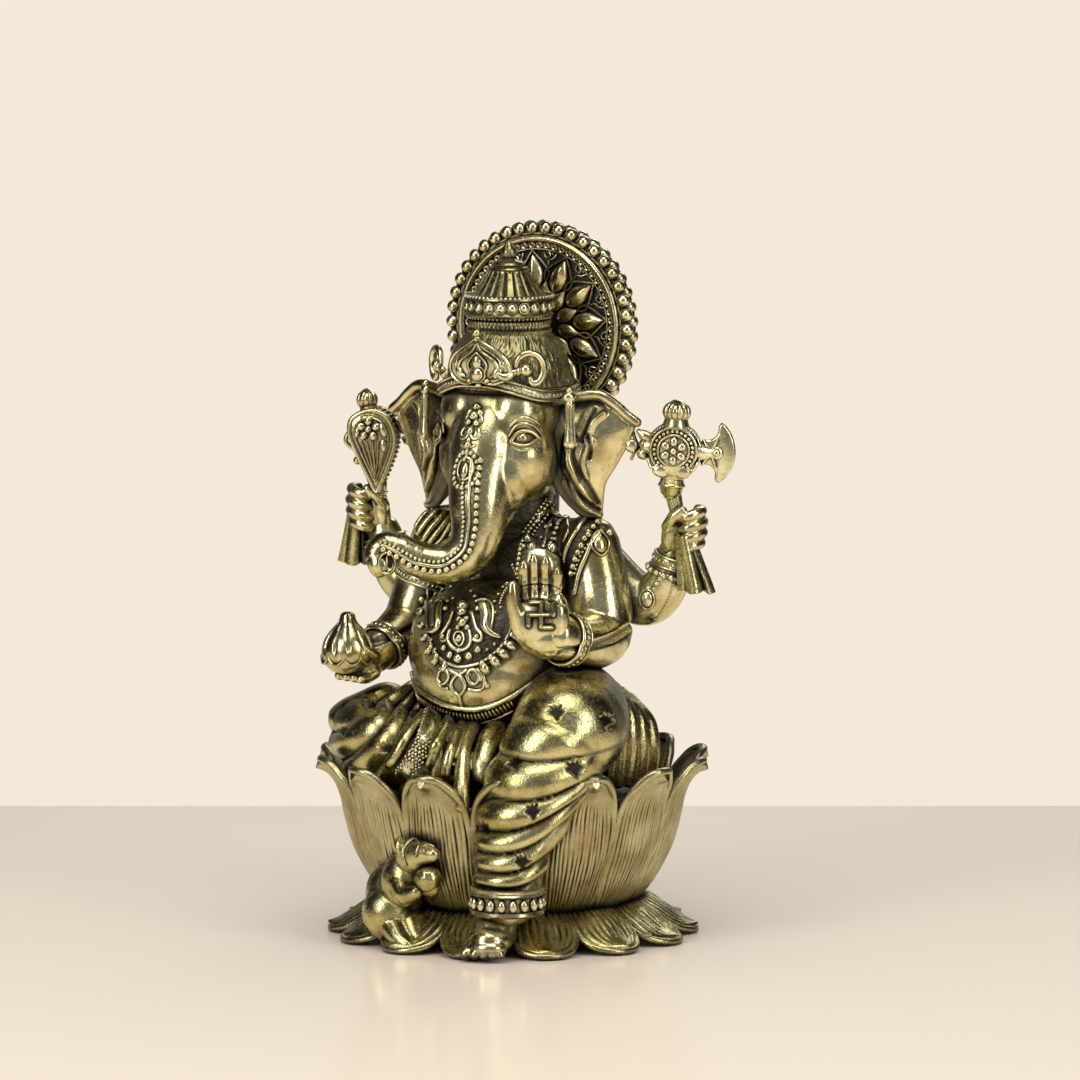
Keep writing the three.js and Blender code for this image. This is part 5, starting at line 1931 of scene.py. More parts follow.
def flower(middle, petals, radius, reach):
    """Round petals about a raised eye, on a face at Z = middle[2]."""
    x, y, z = middle
    parts = [ball((x, y, z + 0.3), (radius * 0.75, radius * 0.75, radius * 0.7), around=16, down=10)]
    for a in np.arange(petals) * FULL_TURN / petals + math.pi / 2:
        parts.append(ball(
            (x + reach * math.cos(a), y + reach * math.sin(a), z + 0.15),
            (radius, radius * 0.8, radius * 0.55), turn=(0, 0, math.degrees(a)), around=16, down=10,
        ))
    return parts


def both_faces(parts):
    """The relief of one face, and a copy of it turned over for the back."""
    face = joined(parts)
    take(face)
    bpy.ops.object.duplicate()
    back = bpy.context.object
    back.data.transform(Matrix.Rotation(math.pi, 4, "Y"))
    return [face, back]


ALONG_BENCH = (0, 1.0, 0)


def bead_ring(radius, size, count, z):
    motif = ball((0, 0, 0.1), (size, size, size), around=10, down=7)
    return copies(motif, circle(radius, radius, count, z), FACING, ups=ALONG_BENCH)


def hoop(radius, size, z):
    return bar(circle(radius, radius, 40, z), size, size, normals=FACING, sides=8, closed=True)


# %% The axe
AXE_PLACE, AXE_TURN = (36, 4, 104), 24
head_body = melt([
    ball((0, 0, 0), (5.6, 5.7, 3.6)), ball((0, -3.0, 0), (4.4, 3.6, 3.4)), ball((0, -6.4, 0), (2.4, 1.6, 2.4)),
    rod([(3.0, 0, 0, 3.0), (6.0, 0, 0, 2.2), (7.6, 0, 0, 1.6)]), rod([(-3, 0, 0, 2.6), (-5.4, 0.3, 0, 1.9)]),
], voxel=0.3, smoothing=6)
relief = [
    hoop(4.75, 0.42, 2.3), hoop(3.25, 0.32, 3.1), bead_ring(4.0, 0.46, 26, 2.7), *flower((0, 0, 3.35), 6, 1.05, 1.95),
    flat_wire(
        [(-5.2, -2.2), (-4.2, -3.9), (-2.3, -2.6), (-0.2, -4.4), (2.1, -2.6), (4.1, -3.9), (5.2, -2.2)], 0.34, 0.4, 2.5,
    ),
    ball((-2.3, -4.3, 2.2), (1.9, 1.5, 0.8)), ball((2.1, -4.3, 2.2), (1.9, 1.5, 0.8)),
    flat_wire([(4.9, 2.6), (5.6, 0.9), (5.2, 0), (5.6, -0.9), (4.9, -2.6)], 0.4, 0.5, 1.6),
    *[flat_wire([(6.1, 2.5 * s), (7.2, 0.6 * s), (8.4, -1.6 * s), (8.8, -2.8 * s)], 0.36, 0.45, 0.9) for s in (1, -1)],
    ball((8.9, 0, 0.7), (1.5, 1.5, 0.7), turn=(0, 0, 45), around=16, down=10),
    ball((8.9, 0, 1.1), (0.85, 0.85, 0.6), around=16, down=10),
]
rim = bar(
    [(5.4 * math.cos(a), 5.4 * math.sin(a), 0) for a in np.linspace(0.5, math.pi - 0.5, 40)], 0.5, 0.5, sides=8,
)
edge_beads = copies(
    ball((0, 0, 0), (0.42, 0.42, 0.42), around=10, down=7),
    [(5.3 * math.cos(a), 5.3 * math.sin(a), z) for a in np.linspace(0.55, math.pi - 0.55, 17) for z in (-1.1, 1.1)],
    FACING, ups=ALONG_BENCH,
)
BLADE = [
    (5.6, 2.2), (7.6, 2.7), (8.8, 3.9), (9.0, 5.5), (9.7, 6.4), (11.7, 4.2), (12.7, 1.4), (12.8, -1.0), (11.9, -3.9),
    (10.0, -6.2), (8.9, -5.6), (8.8, -3.9), (7.6, -2.7), (5.6, -2.2),
]
blade = flat_plate(BLADE, 1.5)
blade_wire = flat_wire([(9.6, 6.1), (11.5, 4.0), (12.4, 1.4), (12.5, -1.0), (11.7, -3.6), (9.9, -5.9)], 0.3, 0.5)
knob = [ball((-6.4, -1.4, 0), (1.35, 1.3, 1.35)), rod([(-4.8, 1.8, 0, 1.3), (-6.6, 2.6, 0, 1.2), (-7.6, 3.2, 0, 0.6)])]
collar = [
    rod([(0, -7.0, 0, 2.6), (0, -7.5, 0, 2.9), (0, -8.0, 0, 2.5)], sides=24, step=0.2),
    rod([(0, -8.3, 0, 1.9), (0, -8.7, 0, 2.1), (0, -9.1, 0, 1.8)], sides=20, step=0.2),
]
axe = joined([
    head_body, *both_faces(relief), rim, edge_beads, blade, blade_wire, *knob, *collar,
    fluted_bulb((0, 7.9, 0), 3.0, 2.4), rod([(0, 5.0, 0, 2.9), (0, 5.8, 0, 2.6)], sides=24),
])
stood(axe, AXE_TURN, AXE_PLACE, roll=-4)
shaft = rod([
    (35.4, 4.2, 96.2, 1.75), (35.9, 4.6, 93, 1.6), (36.6, 5.0, 89, 1.5), (37.4, 5.2, 84, 1.3),
], sides=20, step=0.3)
ribs = [
    rod([
        (35.4 + x, 4.2 - y, 95.6, 0.32), (35.9 + x * 0.9, 4.6 - y * 0.9, 93, 0.3),
        (36.5 + x * 0.85, 5.0 - y * 0.85, 90.2, 0.3),
    ], sides=8)
    for x, y in ((-1.2, 1.1), (0.2, 1.65), (1.4, 0.9))
]
finished(joined([axe, shaft, *ribs]), "axe_relief", ornament_brass, "ornament_brass", "axe")

# %% The goad
GOAD_PLACE, GOAD_TURN = (-35.5, 4, 103.2), 16
LEAF = [
    (-0.6, 5.6), (2.8, 4.6), (4.6, 1.8), (4.8, -1.8), (3.4, -6.2), (1.9, -9.6), (1.0, -11.6), (-0.8, -8.4),
    (-3.2, -3.6), (-4.8, 0.6), (-4.3, 3.8),
]
inner_leaf = [(x * 0.74, y * 0.78 - 0.3) for x, y in LEAF]
body_plate = flat_plate(LEAF, 5.6)
rounded_edges(body_plate, 0.7, segments=3, sharper_than=40)
relief = [
    flat_wire(LEAF, 0.5, 0.5, 2.7, closed=True), flat_wire(inner_leaf, 0.26, 0.34, 2.95, closed=True),
    *flower((-0.6, 1.7, 3.05), 5, 1.05, 1.75),
    *[
        flat_wire([(-0.4 + k * 0.5, -1.2), (0.1 + k * 0.35, -4.4), (0.7, -8.6)], 0.26, 0.34, 2.95)
        for k in (-3.4, -1.2, 1.2, 3.6)
    ],
    ball((2.5, 1.6, 2.9), (0.8, 1.6, 0.5), turn=(0, 0, 20)), ball((2.6, -1.8, 2.9), (0.7, 1.4, 0.5), turn=(0, 0, 10)),
    ball((-3.1, 1.0, 2.9), (0.6, 1.3, 0.5), turn=(0, 0, -10)), ball((-0.8, 4.1, 2.95), (1.6, 0.55, 0.5)),
]
around = smooth_path([(x * 1.03, y * 1.02, 0) for x, y in LEAF], 0.3, closed=True)
side_beads = []
for z in (-1.5, 0, 1.5):
    points, ways = every(np.vstack([around, around[:1]]), 1.05)
    points[:, 2] = z
    motif = ball((0, 0, 0.1), (0.72, 0.42, 0.5), around=10, down=7)
    side_beads.append(copies(motif, points, np.cross(ways, FACING), ups=ways))
curls = [
    flat_wire([(4.2, 3.6), (5.8, 4.6), (7.0, 4.2), (7.2, 3.0), (6.4, 2.6)], 0.6, 0.7, 0.4),
    flat_wire([(5.2, 2.2), (6.4, 0.9), (7.9, 0.8), (8.2, -0.8), (7.0, -1.3), (6.4, -0.4)], 0.5, 0.6, 0.2),
    ball((5.3, 3.9, 0.8), (1.1, 0.9, 0.9)),
    flat_wire([(-4.4, 1.2), (-5.8, 0.2), (-6.2, -1.4), (-5.0, -2.6), (-3.4, -3.4)], 0.5, 0.5, 0.2),
    ball((-3.7, -5.4, 0.2), (0.9, 0.9, 0.9)),
]
goad = joined([
    body_plate, *both_faces(relief), *side_beads, *curls, fluted_bulb((-1.6, 7.6, 0), 2.3, 2.2, 11),
    rod([
        (-0.9, 4.6, 0, 2.4), (-1.3, 6.0, 0, 1.9),
    ], sides=20), rod([(0.9, -10.2, 0, 1.8), (1.0, -12.6, 0, 1.5)], sides=20),
    ball((1.0, -11.9, 0), (1.9, 0.7, 1.9)), ball((1.0, -12.9, 0), (1.7, 0.6, 1.7)),
])
stood(goad, GOAD_TURN, GOAD_PLACE)
stem = rod([(-35.0, 4.4, 91.5, 1.4), (-36.2, 4.8, 88, 1.35), (-37.2, 5.2, 84.4, 1.2)], sides=20, step=0.3)
finished(joined([goad, stem]), "goad_relief", ornament_brass, "ornament_brass", "goad")

# %% [markdown]
# From each fist hangs the end of a scarf, gathered above and fanned out in pleats below. It is a
# flat strip whose pleats are a ripple that grows towards the hem, thickened and softened.

# %% The scarf ends
AWAY_FROM_EYE = np.array([-math.sin(SHOW_TURN), math.cos(SHOW_TURN), 0])
SCARF_FOLDS = 1.6


def scarf(top, low, width_top, width_low, name, casting):
    bpy.ops.object.select_all(action="DESELECT")
    bpy.ops.mesh.primitive_grid_add(x_subdivisions=64, y_subdivisions=48, size=2)
    made = bpy.context.object
    top, low = np.array(top, float), np.array(low, float)

    def hang(flat, _):
        s, t = flat[:, 0], (1 - flat[:, 1]) / 2
        middle = top[None] * (1 - t)[:, None] + low[None] * t[:, None]
        half = width_top + (width_low - width_top) * t**1.2
        wave = np.cos(s * math.pi * SCARF_FOLDS + 0.6)
        ripple, hem = (0.4 + 0.7 * t) * wave, 0.4 * wave * ease(0.85, 1.0, t)
        return middle + np.outer(s * half, RIGHTWARD) - np.outer(ripple, AWAY_FROM_EYE) - np.outer(hem, SKYWARD)

    sculpt(made, hang)
    apply_modifier(made, "SOLIDIFY", thickness=1.7, offset=0)
    rounded_edges(made, 0.5)
    finished(made, name, cloth_brass, "cloth_brass", casting)


scarf((38.8, 3.4, 86.0), (41.2, 4.4, 74.4), 1.6, 3.3, "left_scarf_end", "left_scarf_tail")
scarf((-39.4, 3.8, 88.0), (-41.0, 4.8, 75.6), 1.4, 2.8, "right_scarf_end", "right_scarf_tail")


# %% [markdown]
# ## The lower garment
# Cast cloth lies over the legs in fat rolls with sharp black creases. On the hanging leg they sag
# like swags across the shin, closer together towards the ankle; on the folded leg they fan out
# from the waist. Each leg is first a melted limb. Then a rule gives every point its place across
# the rolls, counted in rolls, and lifts it to a round profile between two creases.

# %% Swags on the hanging leg
# How high each crease hangs, from the ankle up, and how far right its lowest point lies.
SWAG_LOWS = np.array([2.0, 6.0, 10.3, 13.6, 17.7, 22.3, 28.7, 37.1, 50.0])
SWAG_MIDDLES = np.array([-1.5, -1.3, -1.1, -1.8, -2.4, -2.2, 2.0, 6.5, 12.0])
HALF_STAMP = [(0, -2.3), (0.9, -0.9), (2.3, 0.2), (1.3, 0.7), (1.5, 1.9), (0.4, 1.2), (0, 2.2)]
LEAF_STAMP = both_sides(HALF_STAMP)


def swag_count(marks):
    """The place across the swags, in rolls up from the ankle."""
    across, up = marks.T
    low = up.copy()
    for _ in range(4):
        sag = across - np.interp(low, SWAG_LOWS, SWAG_MIDDLES)
        bend = np.where(sag > 0, np.interp(low, [10, 20, 29, 37], [0.05, 0.035, 0.024, 0.012]), 0.02)
        low = up - bend * sag**2
    return np.interp(low, SWAG_LOWS, np.arange(len(SWAG_LOWS)))


def roll_height(count):
    """1 on the back of a roll, 0 in the crease; the lower side is the steeper one."""
    part = count % 1
    return np.sin(math.pi * part**0.75) ** 0.7


def stamped(marks, leaves):
    """How far inside any of the leaf stamps the marks lie."""
    deep = np.zeros(len(marks))
    for across, up, size, turn in leaves:
        near = np.linalg.norm(marks - [across, up], axis=1) < 4 * size
        if near.any():
            c, s = math.cos(turn), math.sin(turn)
            outline = [(across + size * (x * c - y * s), up + size * (x * s + y * c)) for x, y in LEAF_STAMP]
            deep[near] = np.maximum(deep[near], inside(outline, marks[near], 0.3))
    return deep


LEG_LEAVES = [
    (9.0, 47.2, 0.95, 0.1), (-0.1, 36.9, 0.95, 0.3), (13.0, 35.4, 1.0, 0.15), (4.2, 26.6, 1.0, 0.1),
    (-6.4, 23.0, 0.85, 0.5), (2.0, 16.1, 0.95, 0.1), (19.6, 45.4, 0.95, -0.3),
]
leg = melt(
    [
        ball((11, 1, 46.5), (14, 14, 11.5)),
        rod([(12, 0, 47, 12.0), (16.5, -6, 47.6, 12.3), (20.5, -12.4, 47.8, 12.2), (23.2, -18, 47.2, 11.7)], sides=48),
        ball((23.4, -20.0, 46.9), (11.5, 11.5, 11.6), around=48, down=32),
        rod([
            (22.7, -23.2, 43, 11.0), (20.2, -27.0, 37.5, 10.4), (18.6, -29.0, 32, 9.7), (16.9, -30.2, 26.5, 8.7),
            (16.0, -30.8, 21, 7.7), (15.3, -31.1, 16.2, 6.9), (15.2, -31.1, 13.4, 6.5),
        ], sides=48, step=0.6),
    ],
    voxel=0.37, smoothing=9,
)


def leg_share(places, outward):
    below_knee = 1 - ease(42.5, 47.5, places @ UPWARD + 0.25 * (places @ RIGHTWARD - 9))
    facing = 0.25 + 0.75 * ease(-0.45, 0.25, outward @ TOWARD_EYE)
    return below_knee * facing * (1 - ease(13.0, 17.5, places @ RIGHTWARD))


def drape_leg(places, outward):
    marks = seen_marks(places)
    share = leg_share(places, outward)
    lift = 2.1 * (roll_height(swag_count(marks)) - 0.75) * share
    hollow = 0.6 * stamped(marks, LEG_LEAVES) * seen_front(outward)
    return places + outward * (lift - hollow)[:, None]


def crease_patina(count, width=0.09):
    part = count % 1
    return 1 - ease(width * 0.4, width, np.minimum(part * 1.3, (1 - part) * 1.3))


def leg_paint(places):
    marks = seen_marks(places)
    below = 1 - ease(43, 46, places @ UPWARD + 0.25 * (places @ RIGHTWARD - 9))
    front = ease(-3.0, 3.0, (places - [19, -16, 35]) @ TOWARD_EYE)
    return np.maximum(0.7 * crease_patina(swag_count(marks)) * below, stamped(marks, LEG_LEAVES) * front)


paint_patina(leg, leg_paint)
sculpt(leg, drape_leg)
finished(leg, "draped_left_leg", cloth_brass, "cloth_brass", "left_thigh", "left_shin")

# %% The folded leg and the lap
FAN = np.array([-14.1, 57.7])  # where the folds of the lap gather
FOLD_LEAVES = [(-29.5, 48.3, 0.85, 0.7), (-35.7, 42.7, 0.85, 0.3), (-26.4, 39.2, 0.85, 0.5), (-20.5, 46.2, 0.85, 0.6)]
lap = melt(
    [
        ball((0, 0, 43), (19, 14, 9.5)),
        rod([
            (-10, 0, 43.6, 9.8), (-16, -4, 43.2, 9.6), (-21, -8, 43.2, 9.4), (-26, -11.2, 43.4, 8.8),
            (-28.6, -12.6, 43.2, 8),
        ], sides=40),
        rod([
            (-27, -14, 41.6, 8.6), (-22, -18.5, 41, 8.8), (-17, -21.5, 40.4, 9), (-11, -24.2, 39.8, 8.6),
            (-4, -26, 39.4, 8),
        ], sides=40),
        ball((-4, -16, 42), (13, 10, 6.5)),
    ],
    voxel=0.37, smoothing=9,
)


def fan_count(marks):
    """The place across the fan of folds, in rolls; the fan opens from the waist."""
    way = FAN - marks
    angle = np.degrees(np.arctan2(way[:, 1], np.maximum(way[:, 0], 0.01)))
    return (angle - 6) / 12.5 + 0.12 * np.sin(np.linalg.norm(way, axis=1) / 5.5)


def drape_lap(places, outward):
    marks = seen_marks(places)
    far = np.linalg.norm(marks - FAN, axis=1)
    share = ease(3, 9, far) * (0.25 + 0.75 * ease(-0.5, 0.2, outward @ TOWARD_EYE))
    lift = 2.0 * (roll_height(fan_count(marks)) - 0.75) * share
    hollow = 0.5 * stamped(marks, FOLD_LEAVES) * seen_front(outward)
    return places + outward * (lift - hollow)[:, None]


def lap_paint(places):
    marks = seen_marks(places)
    front = ease(-3.0, 3.0, (places - [-20, -12, 44]) @ TOWARD_EYE)
    creases = 0.9 * crease_patina(fan_count(marks), 0.11) * ease(3, 8, np.linalg.norm(marks - FAN, axis=1))
    return np.maximum(creases, stamped(marks, FOLD_LEAVES) * front)


paint_patina(lap, lap_paint)
sculpt(lap, drape_lap)
lap_skin = skin_of(lap)
finished(lap, "draped_lap_and_folded_leg", cloth_brass, "cloth_brass", "folded_leg")

# %% [markdown]
# The belt is a smooth wire under the belly with a toothed fringe below it. A pitted brocade strip
# and four sash ends hang over the lap.

# %% The belt
parts = []
BELT = [
    (-22, 54.3), (-20.3, 52), (-17.7, 50.2), (-14.7, 48.7), (-11.3, 47.8), (-7.5, 47.6), (-3.8, 48.5), (-0, 50.3),
    (3.7, 52.7), (7.5, 54.8), (9.7, 56.1),
]
parts.append(wire_on(body_skin, BELT, 0.62, 0.5, sides=10))
FRINGE = [(u - 0.2, v - 1.55) for u, v in BELT[1:-3]]
points, along = every(on_skin(body_skin, FRINGE), 0.82)
feet, out = nearest(body_skin, points)
tooth = ball((0, 0, 0.35), (0.34, 1.15, 0.5), around=8, down=7)
parts.append(copies(tooth, feet, out, ups=np.cross(out, along)))
parts.append(wire_on(body_skin, [(u, v - 3.0) for u, v in BELT[3:8]], 0.3, 1.2))
loop = smooth_path([(15, 3, 54), (10, 13, 53.5), (0, 17.2, 53), (-10, 14, 53), (-17, 6, 53.5)], 0.5)
parts.append(cord_round(body_skin, loop, 0.8, 0.6, lift=0.4, sides=10))
finished(joined(parts), "belt_and_fringe", ornament_brass, "ornament_brass")

# %% The sash ends
def at_mark(mark, depth):
    """The point seen at a mark, at least a given depth in front of the axis and clear of the lap."""
    start = RIGHTWARD * mark[0] + UPWARD * mark[1]
    hit = lap_skin.ray_cast(Vector(start + TOWARD_EYE * 200), Vector(-TOWARD_EYE))[0]
    lap_depth = -1e9 if hit is None else float(np.array(hit) @ TOWARD_EYE)
    return start + TOWARD_EYE * max(depth, lap_depth + 0.5)


def strip(marks, depths, half_width, half_height):
    """A convex strip of cloth through the marks, facing the eye, and the line that it follows."""
    path = smooth_path([at_mark(mark, depth) for mark, depth in zip(marks, depths)], 0.5)
    return bar(path, half_width, half_height, normals=TOWARD_EYE, sides=16), path


runs = (
    ([
        (-16.4, 47.2), (-16.8, 45.7), (-17.9, 41.9), (-19.8, 38.2), (-21.6, 35.2), (-23.1, 33.3),
    ], (20, 22.5, 24.5, 26, 26, 25), 1.9, 1.2),
    ([(-12.6, 46.4), (-13.8, 43.8), (-15.6, 40.8), (-16.6, 38.2), (-17.1, 36.3)], (21, 25, 27.5, 28.5, 28), 1.35, 1.2),
    ([(-9.6, 45.7), (-10.9, 43.4), (-12.6, 40), (-13.6, 36.7), (-13.9, 34.2)], (22, 26, 29, 30, 29.5), 1.15, 1.1),
    ([
        (-7.2, 45.1), (-8.9, 41.9), (-10.1, 38.9), (-10.5, 35.2), (-10.6, 31.4), (-10.5, 27.5),
    ], (22, 27, 31, 34, 36.5, 38), 1.7, 1.5),
    ([(-1.8, 44.5), (-3.6, 42.7), (-5.1, 40), (-6.1, 36.7), (-6.1, 34)], (23, 27, 30.5, 33, 34), 2.4, 1.9),
    ([(-18.6, 46.4), (-20.1, 44.5), (-22.4, 41.2), (-24.3, 37.8), (-25.8, 35.9)], (19, 21.5, 23, 24, 24), 1.2, 1.0),
)
sash = melt([strip(*run)[0] for run in runs[1:]], voxel=0.24, smoothing=3)
finished(sash, "sash_ends", cloth_brass, "cloth_brass", "front_sash")
half_width, half_height = runs[0][2:]
brocade, centre = strip(*runs[0])
random = np.random.default_rng(8)
rows, ways = every(centre, 0.72)
knots, knot_out = [], []
for k, (point, way) in enumerate(zip(rows, ways)):
    side = unit(np.cross(way, TOWARD_EYE))
    for j in (-2, -1, 0, 1, 2):
        shift = (j + 0.5 * (k % 2) - 0.25) * 0.78 + random.uniform(-0.1, 0.1)
        rise = half_height * math.sqrt(max(0.05, 1 - (shift / (half_width + 0.25)) ** 2))
        knots.append(point + side * shift + TOWARD_EYE * rise + way * random.uniform(-0.12, 0.12))
        knot_out.append(TOWARD_EYE + side * shift * 0.4)
sizes = random.uniform(0.75, 1.15, len(knots))
knotted = copies(bead(0.4, 0.1, 8, 6), knots, knot_out, sizes=sizes)
finished(joined([brocade, knotted]), "brocade_strip", ornament_brass, "cloth_brass")

# %% Pleats behind the hip
pleats_behind = []
for k in range(5):
    x = 21.8 + k
    pleats_behind.append(rod([
        (x - 4, 4 + 1.7 * k, 55 - 1.4 * k, 1.8), (x, 1.5 + 2.4 * k, 50 - 1.2 * k, 2),
        (x + 1.2, 0.5 + 2.6 * k, 45 - 0.8 * k, 1.9),
        (x + 1.4, 0.2 + 2.7 * k, 40.2 - 0.6 * k, 1.9), (x + 0.6, 0.2 + 2.7 * k, 33.5, 1.9),
    ], sides=12))
finished(melt(pleats_behind, voxel=0.35, smoothing=4), "hip_pleats", cloth_brass, "cloth_brass")

# %% [markdown]
# Round the ankle sits a ring of oval beads between two rims, and below it the bare foot, whose
# toes are five small rods melted into it and parted by creases.

# %% The anklet
ANKLE = (15.3, -31.2)
anklet_low, anklet_high, _ = casting_box("anklet")
ring_low, ring_high = anklet_low[2], anklet_high[2]
ring_middle = (ring_low + ring_high) / 2
hoops = turned(
    [
        (0, ring_low + 0.1), (7.3, ring_low), (8.0, ring_low + 0.5), (7.9, ring_low + 1.1), (7.1, ring_low + 1.4),
        (7.0, ring_high - 1.9), (7.5, ring_high - 1.6), (7.9, ring_high - 1.2), (7.6, ring_high - 0.8),
        (7.9, ring_high - 0.4), (7.5, ring_high), (0, ring_high),
    ],
    ANKLE, steps=84,
)
oval_bead = ball((0, 0, 0.25), (0.98, 1.35, 0.95), around=14, down=10)
ovals = copies(oval_bead, *ring_places(7.0, 19, ring_middle - 0.3, ANKLE))
finished(joined([hoops, ovals]), "beaded_anklet", ornament_brass, "ornament_brass", "anklet")

# %% The foot
FOOT_WAY = unit(np.array([0.04, -1.0, 0]))
FOOT_SIDE = np.array([-FOOT_WAY[1], FOOT_WAY[0], 0])
HEEL = np.array([12.9, -32.3, 0])


def foot_point(forward, sideways, height, radius):
    place = HEEL + FOOT_WAY * forward + FOOT_SIDE * sideways + [0, 0, height]
    return (*place, radius)


TOES = ((-2.9, 6.9, 1.35), (-1.0, 7.1, 1.1), (0.7, 6.8, 1.0), (2.2, 6.2, 0.95), (3.5, 5.4, 0.9))
toes = [
    rod([
        foot_point(3.4, side * 0.9, 4.2, 1.4), foot_point(length - 1.6, side * 1.05, 2.6, thick),
        foot_point(length, side * 1.12, 1.75, thick),
    ], sides=14, step=0.3)
    for side, length, thick in TOES
]
foot = melt(
    [
        rod([foot_point(-1.5, 0, 10, 4.6), foot_point(-0.6, 0, 7, 4.5), foot_point(1.0, 0, 5.2, 4.3)], sides=24),
        ball(foot_point(2.4, 0.2, 4.2, 0)[:3], (4.6, 4.8, 3.4)),
        ball(foot_point(4.6, 0.2, 3.0, 0)[:3], (4.5, 3.2, 2.1)),
        ball(foot_point(-1.6, 0, 4.6, 0)[:3], (4.0, 4.0, 4.0)),
        *toes,
    ],
    voxel=0.24, smoothing=3,
)
finished(foot, "bare_foot", skin_brass, "figure_brass", "left_foot")

# %% [markdown]
# ## The mouse
# A plump mouse sits up beside the lotus and holds a round sweet to its mouth. It is melted from
# balls and short limbs, with the fur of its back pressed in as long shallow grooves.

# %% The mouse
mouse = melt(
    [
        ball((-13.2, -30.6, 7.4), (5.6, 5.6, 6.0), around=36, down=24),
        ball((-13.0, -28.0, 10.5), (6.4, 5.6, 7.4), turn=(0, -14, 0)),
        ball((-8.4, -32.0, 15.0), (5.2, 4.8, 6.2), turn=(0, 14, 0)),
        ball((-4.2, -35.6, 20.7), (4.1, 3.7, 3.7), turn=(0, 20, 0)),
        rod([(-3.0, -36.5, 21.3, 3.0), (-0.6, -37.4, 21.8, 2.4), (1.6, -38.2, 21.8, 1.6)], sides=18),
        ball((-6.4, -36.6, 22.4), (1.3, 2.6, 2.6), turn=(20, -30, 0)),
        ball((-5.2, -33.4, 23.0), (1.3, 2.2, 2.3), turn=(-10, 10, 0)),
        rod([(-8.1, -35.0, 14.4, 2.5), (-5.7, -37.0, 12.6, 2.0), (-2.6, -37.9, 13.6, 1.5)], sides=16),
        rod([(-3.4, -33.3, 15.3, 2.2), (-0.6, -35.3, 14.1, 1.9), (1.0, -36.7, 14.5, 1.4)], sides=16),
        rod([(-10.4, -33.8, 4.6, 2.6), (-8.0, -35.6, 3.0, 1.9), (-5.8, -36.2, 1.9, 1.5)], sides=16),
        rod([(-7.0, -31.0, 5.0, 3.4), (-5.0, -33.0, 3.0, 2.2), (-3.4, -34.0, 2.0, 1.5)], sides=16),
        rod([
            (-19.0, -26.4, 3.4, 1.3), (-18.8, -21.4, 2.6, 1.0), (-15.4, -19.4, 2.2, 0.8), (-12, -19.6, 2.0, 0.6),
        ], sides=12),
    ],
    voxel=0.26, smoothing=9,
)


def fur(places, outward):
    back = ease(0.1, 0.7, -outward[:, 0] + 0.3 * outward[:, 1]) * ease(3, 6, places[:, 2])
    lines = np.cos((places[:, 1] + 0.35 * places[:, 0]) * 3.4 + 0.6 * np.sin(places[:, 2] * 0.7))
    groove = ease(0.3, 1.0, lines) * back
    return places + outward * (-0.3 * groove)[:, None]


sculpt(mouse, fur)
mouse_skin = skin_of(mouse)
mouse_face = [
    wire_on(mouse_skin, [
        (-22.2, 15.3), (-22.8, 17.2), (-22.4, 19), (-20.5, 20.5), (-19.4, 19.4), (-20.1, 17.2),
    ], 0.4, 0.5),
    wire_on(mouse_skin, [(-18.6, 19), (-17.5, 19.6), (-16.4, 19)], 0.25, 0.4),
]
mouse_face.append(set_on(mouse_skin, [(-18.3, 18.2)], bead(0.55, 0.3)))
finished(joined([mouse, *mouse_face]), "seated_mouse", cloth_brass, "figure_brass", "mouse")
sweet_ball = ball((-0.2, -37.0, 16.4), (2.8, 2.8, 2.8), around=40, down=28)
sculpt(sweet_ball, lambda places, outward: places + outward * (0.1 * grain(places, 1.5, 65))[:, None])
finished(sweet_ball, "mouse_sweet", cloth_brass, "figure_brass")


# %% [markdown]
# ## Stage, light and camera
# Polished metal shows what stands round it, so the light is as much a part of the look as the
# brass is. Two tall soft boxes stand left and right of the eye and give the paired highlights, a
# third hangs above and a weak one stands behind. The room is softly lit on the eye's side and
# behind the figurine, and dim between, which keeps the brass deep from edge to edge.

# %% The table top
TABLE_EDGE = 176.9  # mm from the middle of the base to the table's far edge
matt_card = bpy.data.materials.new("matt_card")
matt_card.use_nodes = True
tree = matt_card.node_tree
tree.nodes.clear()
card_place = add_node(tree, "ShaderNodeTexCoord").outputs["Object"]
card_grain = add_node(
    tree, "ShaderNodeTexNoise", {"Vector": card_place, "Scale": 1 / (2 * MM), "Detail": 2.0},
)
card_tone = add_node(tree, "ShaderNodeMix", {"Factor": card_grain.outputs["Fac"]}, data_type="RGBA")
card_tone.inputs["A"].default_value, card_tone.inputs["B"].default_value = linear("E1D5C6"), linear("DFD3C4")
card = add_node(
    tree, "ShaderNodeBsdfPrincipled",
    {"Base Color": card_tone.outputs["Result"], "Roughness": 0.16, "Specular IOR Level": 0.22},
)
add_node(tree, "ShaderNodeOutputMaterial", {"Surface": card.outputs[0]})
bpy.ops.object.select_all(action="DESELECT")
bpy.ops.mesh.primitive_cube_add(size=1)
table = bpy.context.object
TABLE_DEPTH, TABLE_WIDTH, TABLE_THICK = 1400.0, 2400.0, 18.0
table.data.transform(Matrix.Diagonal((TABLE_WIDTH * MM, TABLE_DEPTH * MM, TABLE_THICK * MM, 1)))
table.data.transform(Matrix.Rotation(SHOW_TURN, 4, "Z"))
table_middle = AWAY_FROM_EYE * (TABLE_EDGE - TABLE_DEPTH / 2) - [0, 0, TABLE_THICK / 2]
table.data.transform(Matrix.Translation(table_middle * MM))
apply_modifier(table, "BEVEL", width=2 * MM, segments=3)
table.name = "table_top"
table.data.materials.append(matt_card)

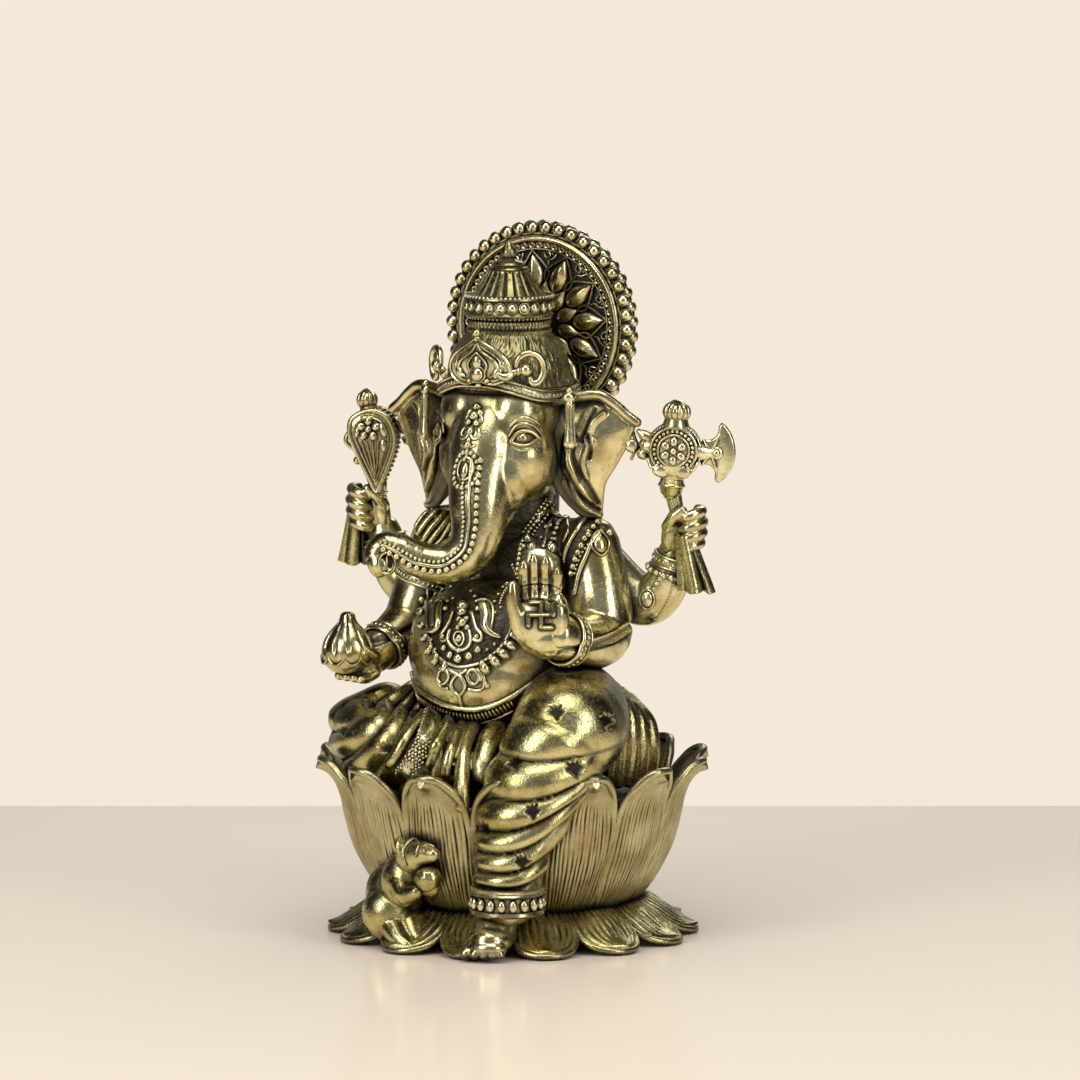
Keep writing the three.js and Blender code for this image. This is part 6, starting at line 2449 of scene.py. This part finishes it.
# %% The room and the lights
world = bpy.data.worlds.new("studio")
bpy.context.scene.world = world
world.use_nodes = True
tree = world.node_tree
tree.nodes.clear()
looking = add_node(tree, "ShaderNodeTexCoord").outputs["Generated"]
toward = add_node(tree, "ShaderNodeVectorMath", {0: looking, 1: TOWARD_EYE}, operation="DOT_PRODUCT")
lit = add_node(
    tree, "ShaderNodeMapRange",
    {"Value": toward.outputs["Value"], "From Min": 0.05, "From Max": 0.9, "To Min": 0.035, "To Max": 0.47},
)
behind = add_node(
    tree, "ShaderNodeMapRange",
    {"Value": toward.outputs["Value"], "From Min": -0.5, "From Max": -0.92, "To Min": 0.0, "To Max": 0.5},
)
glow = add_node(tree, "ShaderNodeMath", {0: lit.outputs[0], 1: behind.outputs[0]}, operation="ADD")
room = add_node(tree, "ShaderNodeBackground", {"Color": linear("B4B6B8"), "Strength": glow.outputs[0]})
bounce = add_node(tree, "ShaderNodeBackground", {"Color": linear("F4EEE4"), "Strength": 1.0})
wall = add_node(tree, "ShaderNodeBackground", {"Color": linear("F4E9D8"), "Strength": 1.0})
ray = add_node(tree, "ShaderNodeLightPath").outputs
matt = add_node(tree, "ShaderNodeMixShader", {0: ray["Is Diffuse Ray"], 1: room.outputs[0], 2: bounce.outputs[0]})
mixed = add_node(tree, "ShaderNodeMixShader", {0: ray["Is Camera Ray"], 1: matt.outputs[0], 2: wall.outputs[0]})
add_node(tree, "ShaderNodeOutputWorld", {"Surface": mixed.outputs[0]})

AIM = (RIGHTWARD * 5.67 + UPWARD * 82.7) * MM


def soft_box(name, turn, rise, distance, width, height, radiance, tint):
    """A soft box aimed at the figurine from a direction given in degrees from the show side."""
    a, e = SHOW_TURN + math.radians(turn), math.radians(rise)
    out = Vector((math.sin(a) * math.cos(e), -math.cos(a) * math.cos(e), math.sin(e)))
    data = bpy.data.lights.new(name, "AREA")
    data.shape, data.size, data.size_y = "RECTANGLE", width, height
    data.energy = radiance * math.pi * width * height
    data.color = tint
    lamp = bpy.data.objects.new(name, data)
    bpy.context.collection.objects.link(lamp)
    lamp.location = Vector(AIM) + out * distance
    lamp.rotation_mode = "QUATERNION"
    lamp.rotation_quaternion = out.to_track_quat("Z", "Y")
    return lamp


NEUTRAL, COOL = (0.99, 0.99, 1.0), (0.96, 0.98, 1.0)
soft_box("left_box", -42, 24, 0.62, 0.20, 0.42, 6.2, NEUTRAL)
soft_box("right_box", 44, 20, 0.66, 0.16, 0.42, 5.4, NEUTRAL)
soft_box("top_box", 5, 66, 0.60, 0.40, 0.30, 4.2, NEUTRAL)
soft_box("rear_box", 160, 35, 0.70, 0.40, 0.30, 2.4, COOL)

# %% The camera
bpy.context.scene.view_settings.view_transform = "Standard"
camera_data = bpy.data.cameras.new("camera")
camera_data.lens, camera_data.sensor_width = 300, 36
FRAME_WIDTH = 228.5 * MM
distance = FRAME_WIDTH * camera_data.lens / camera_data.sensor_width
camera = bpy.data.objects.new("camera", camera_data)
bpy.context.collection.objects.link(camera)
camera.location = Vector(AIM) + Vector(TOWARD_EYE) * distance
camera.rotation_mode = "QUATERNION"
camera.rotation_quaternion = Vector(TOWARD_EYE).to_track_quat("Z", "Y")
camera_data.clip_start, camera_data.clip_end = 0.01, 20
bpy.context.scene.camera = camera
print("camera stands", round(distance, 3), "m from its aim")
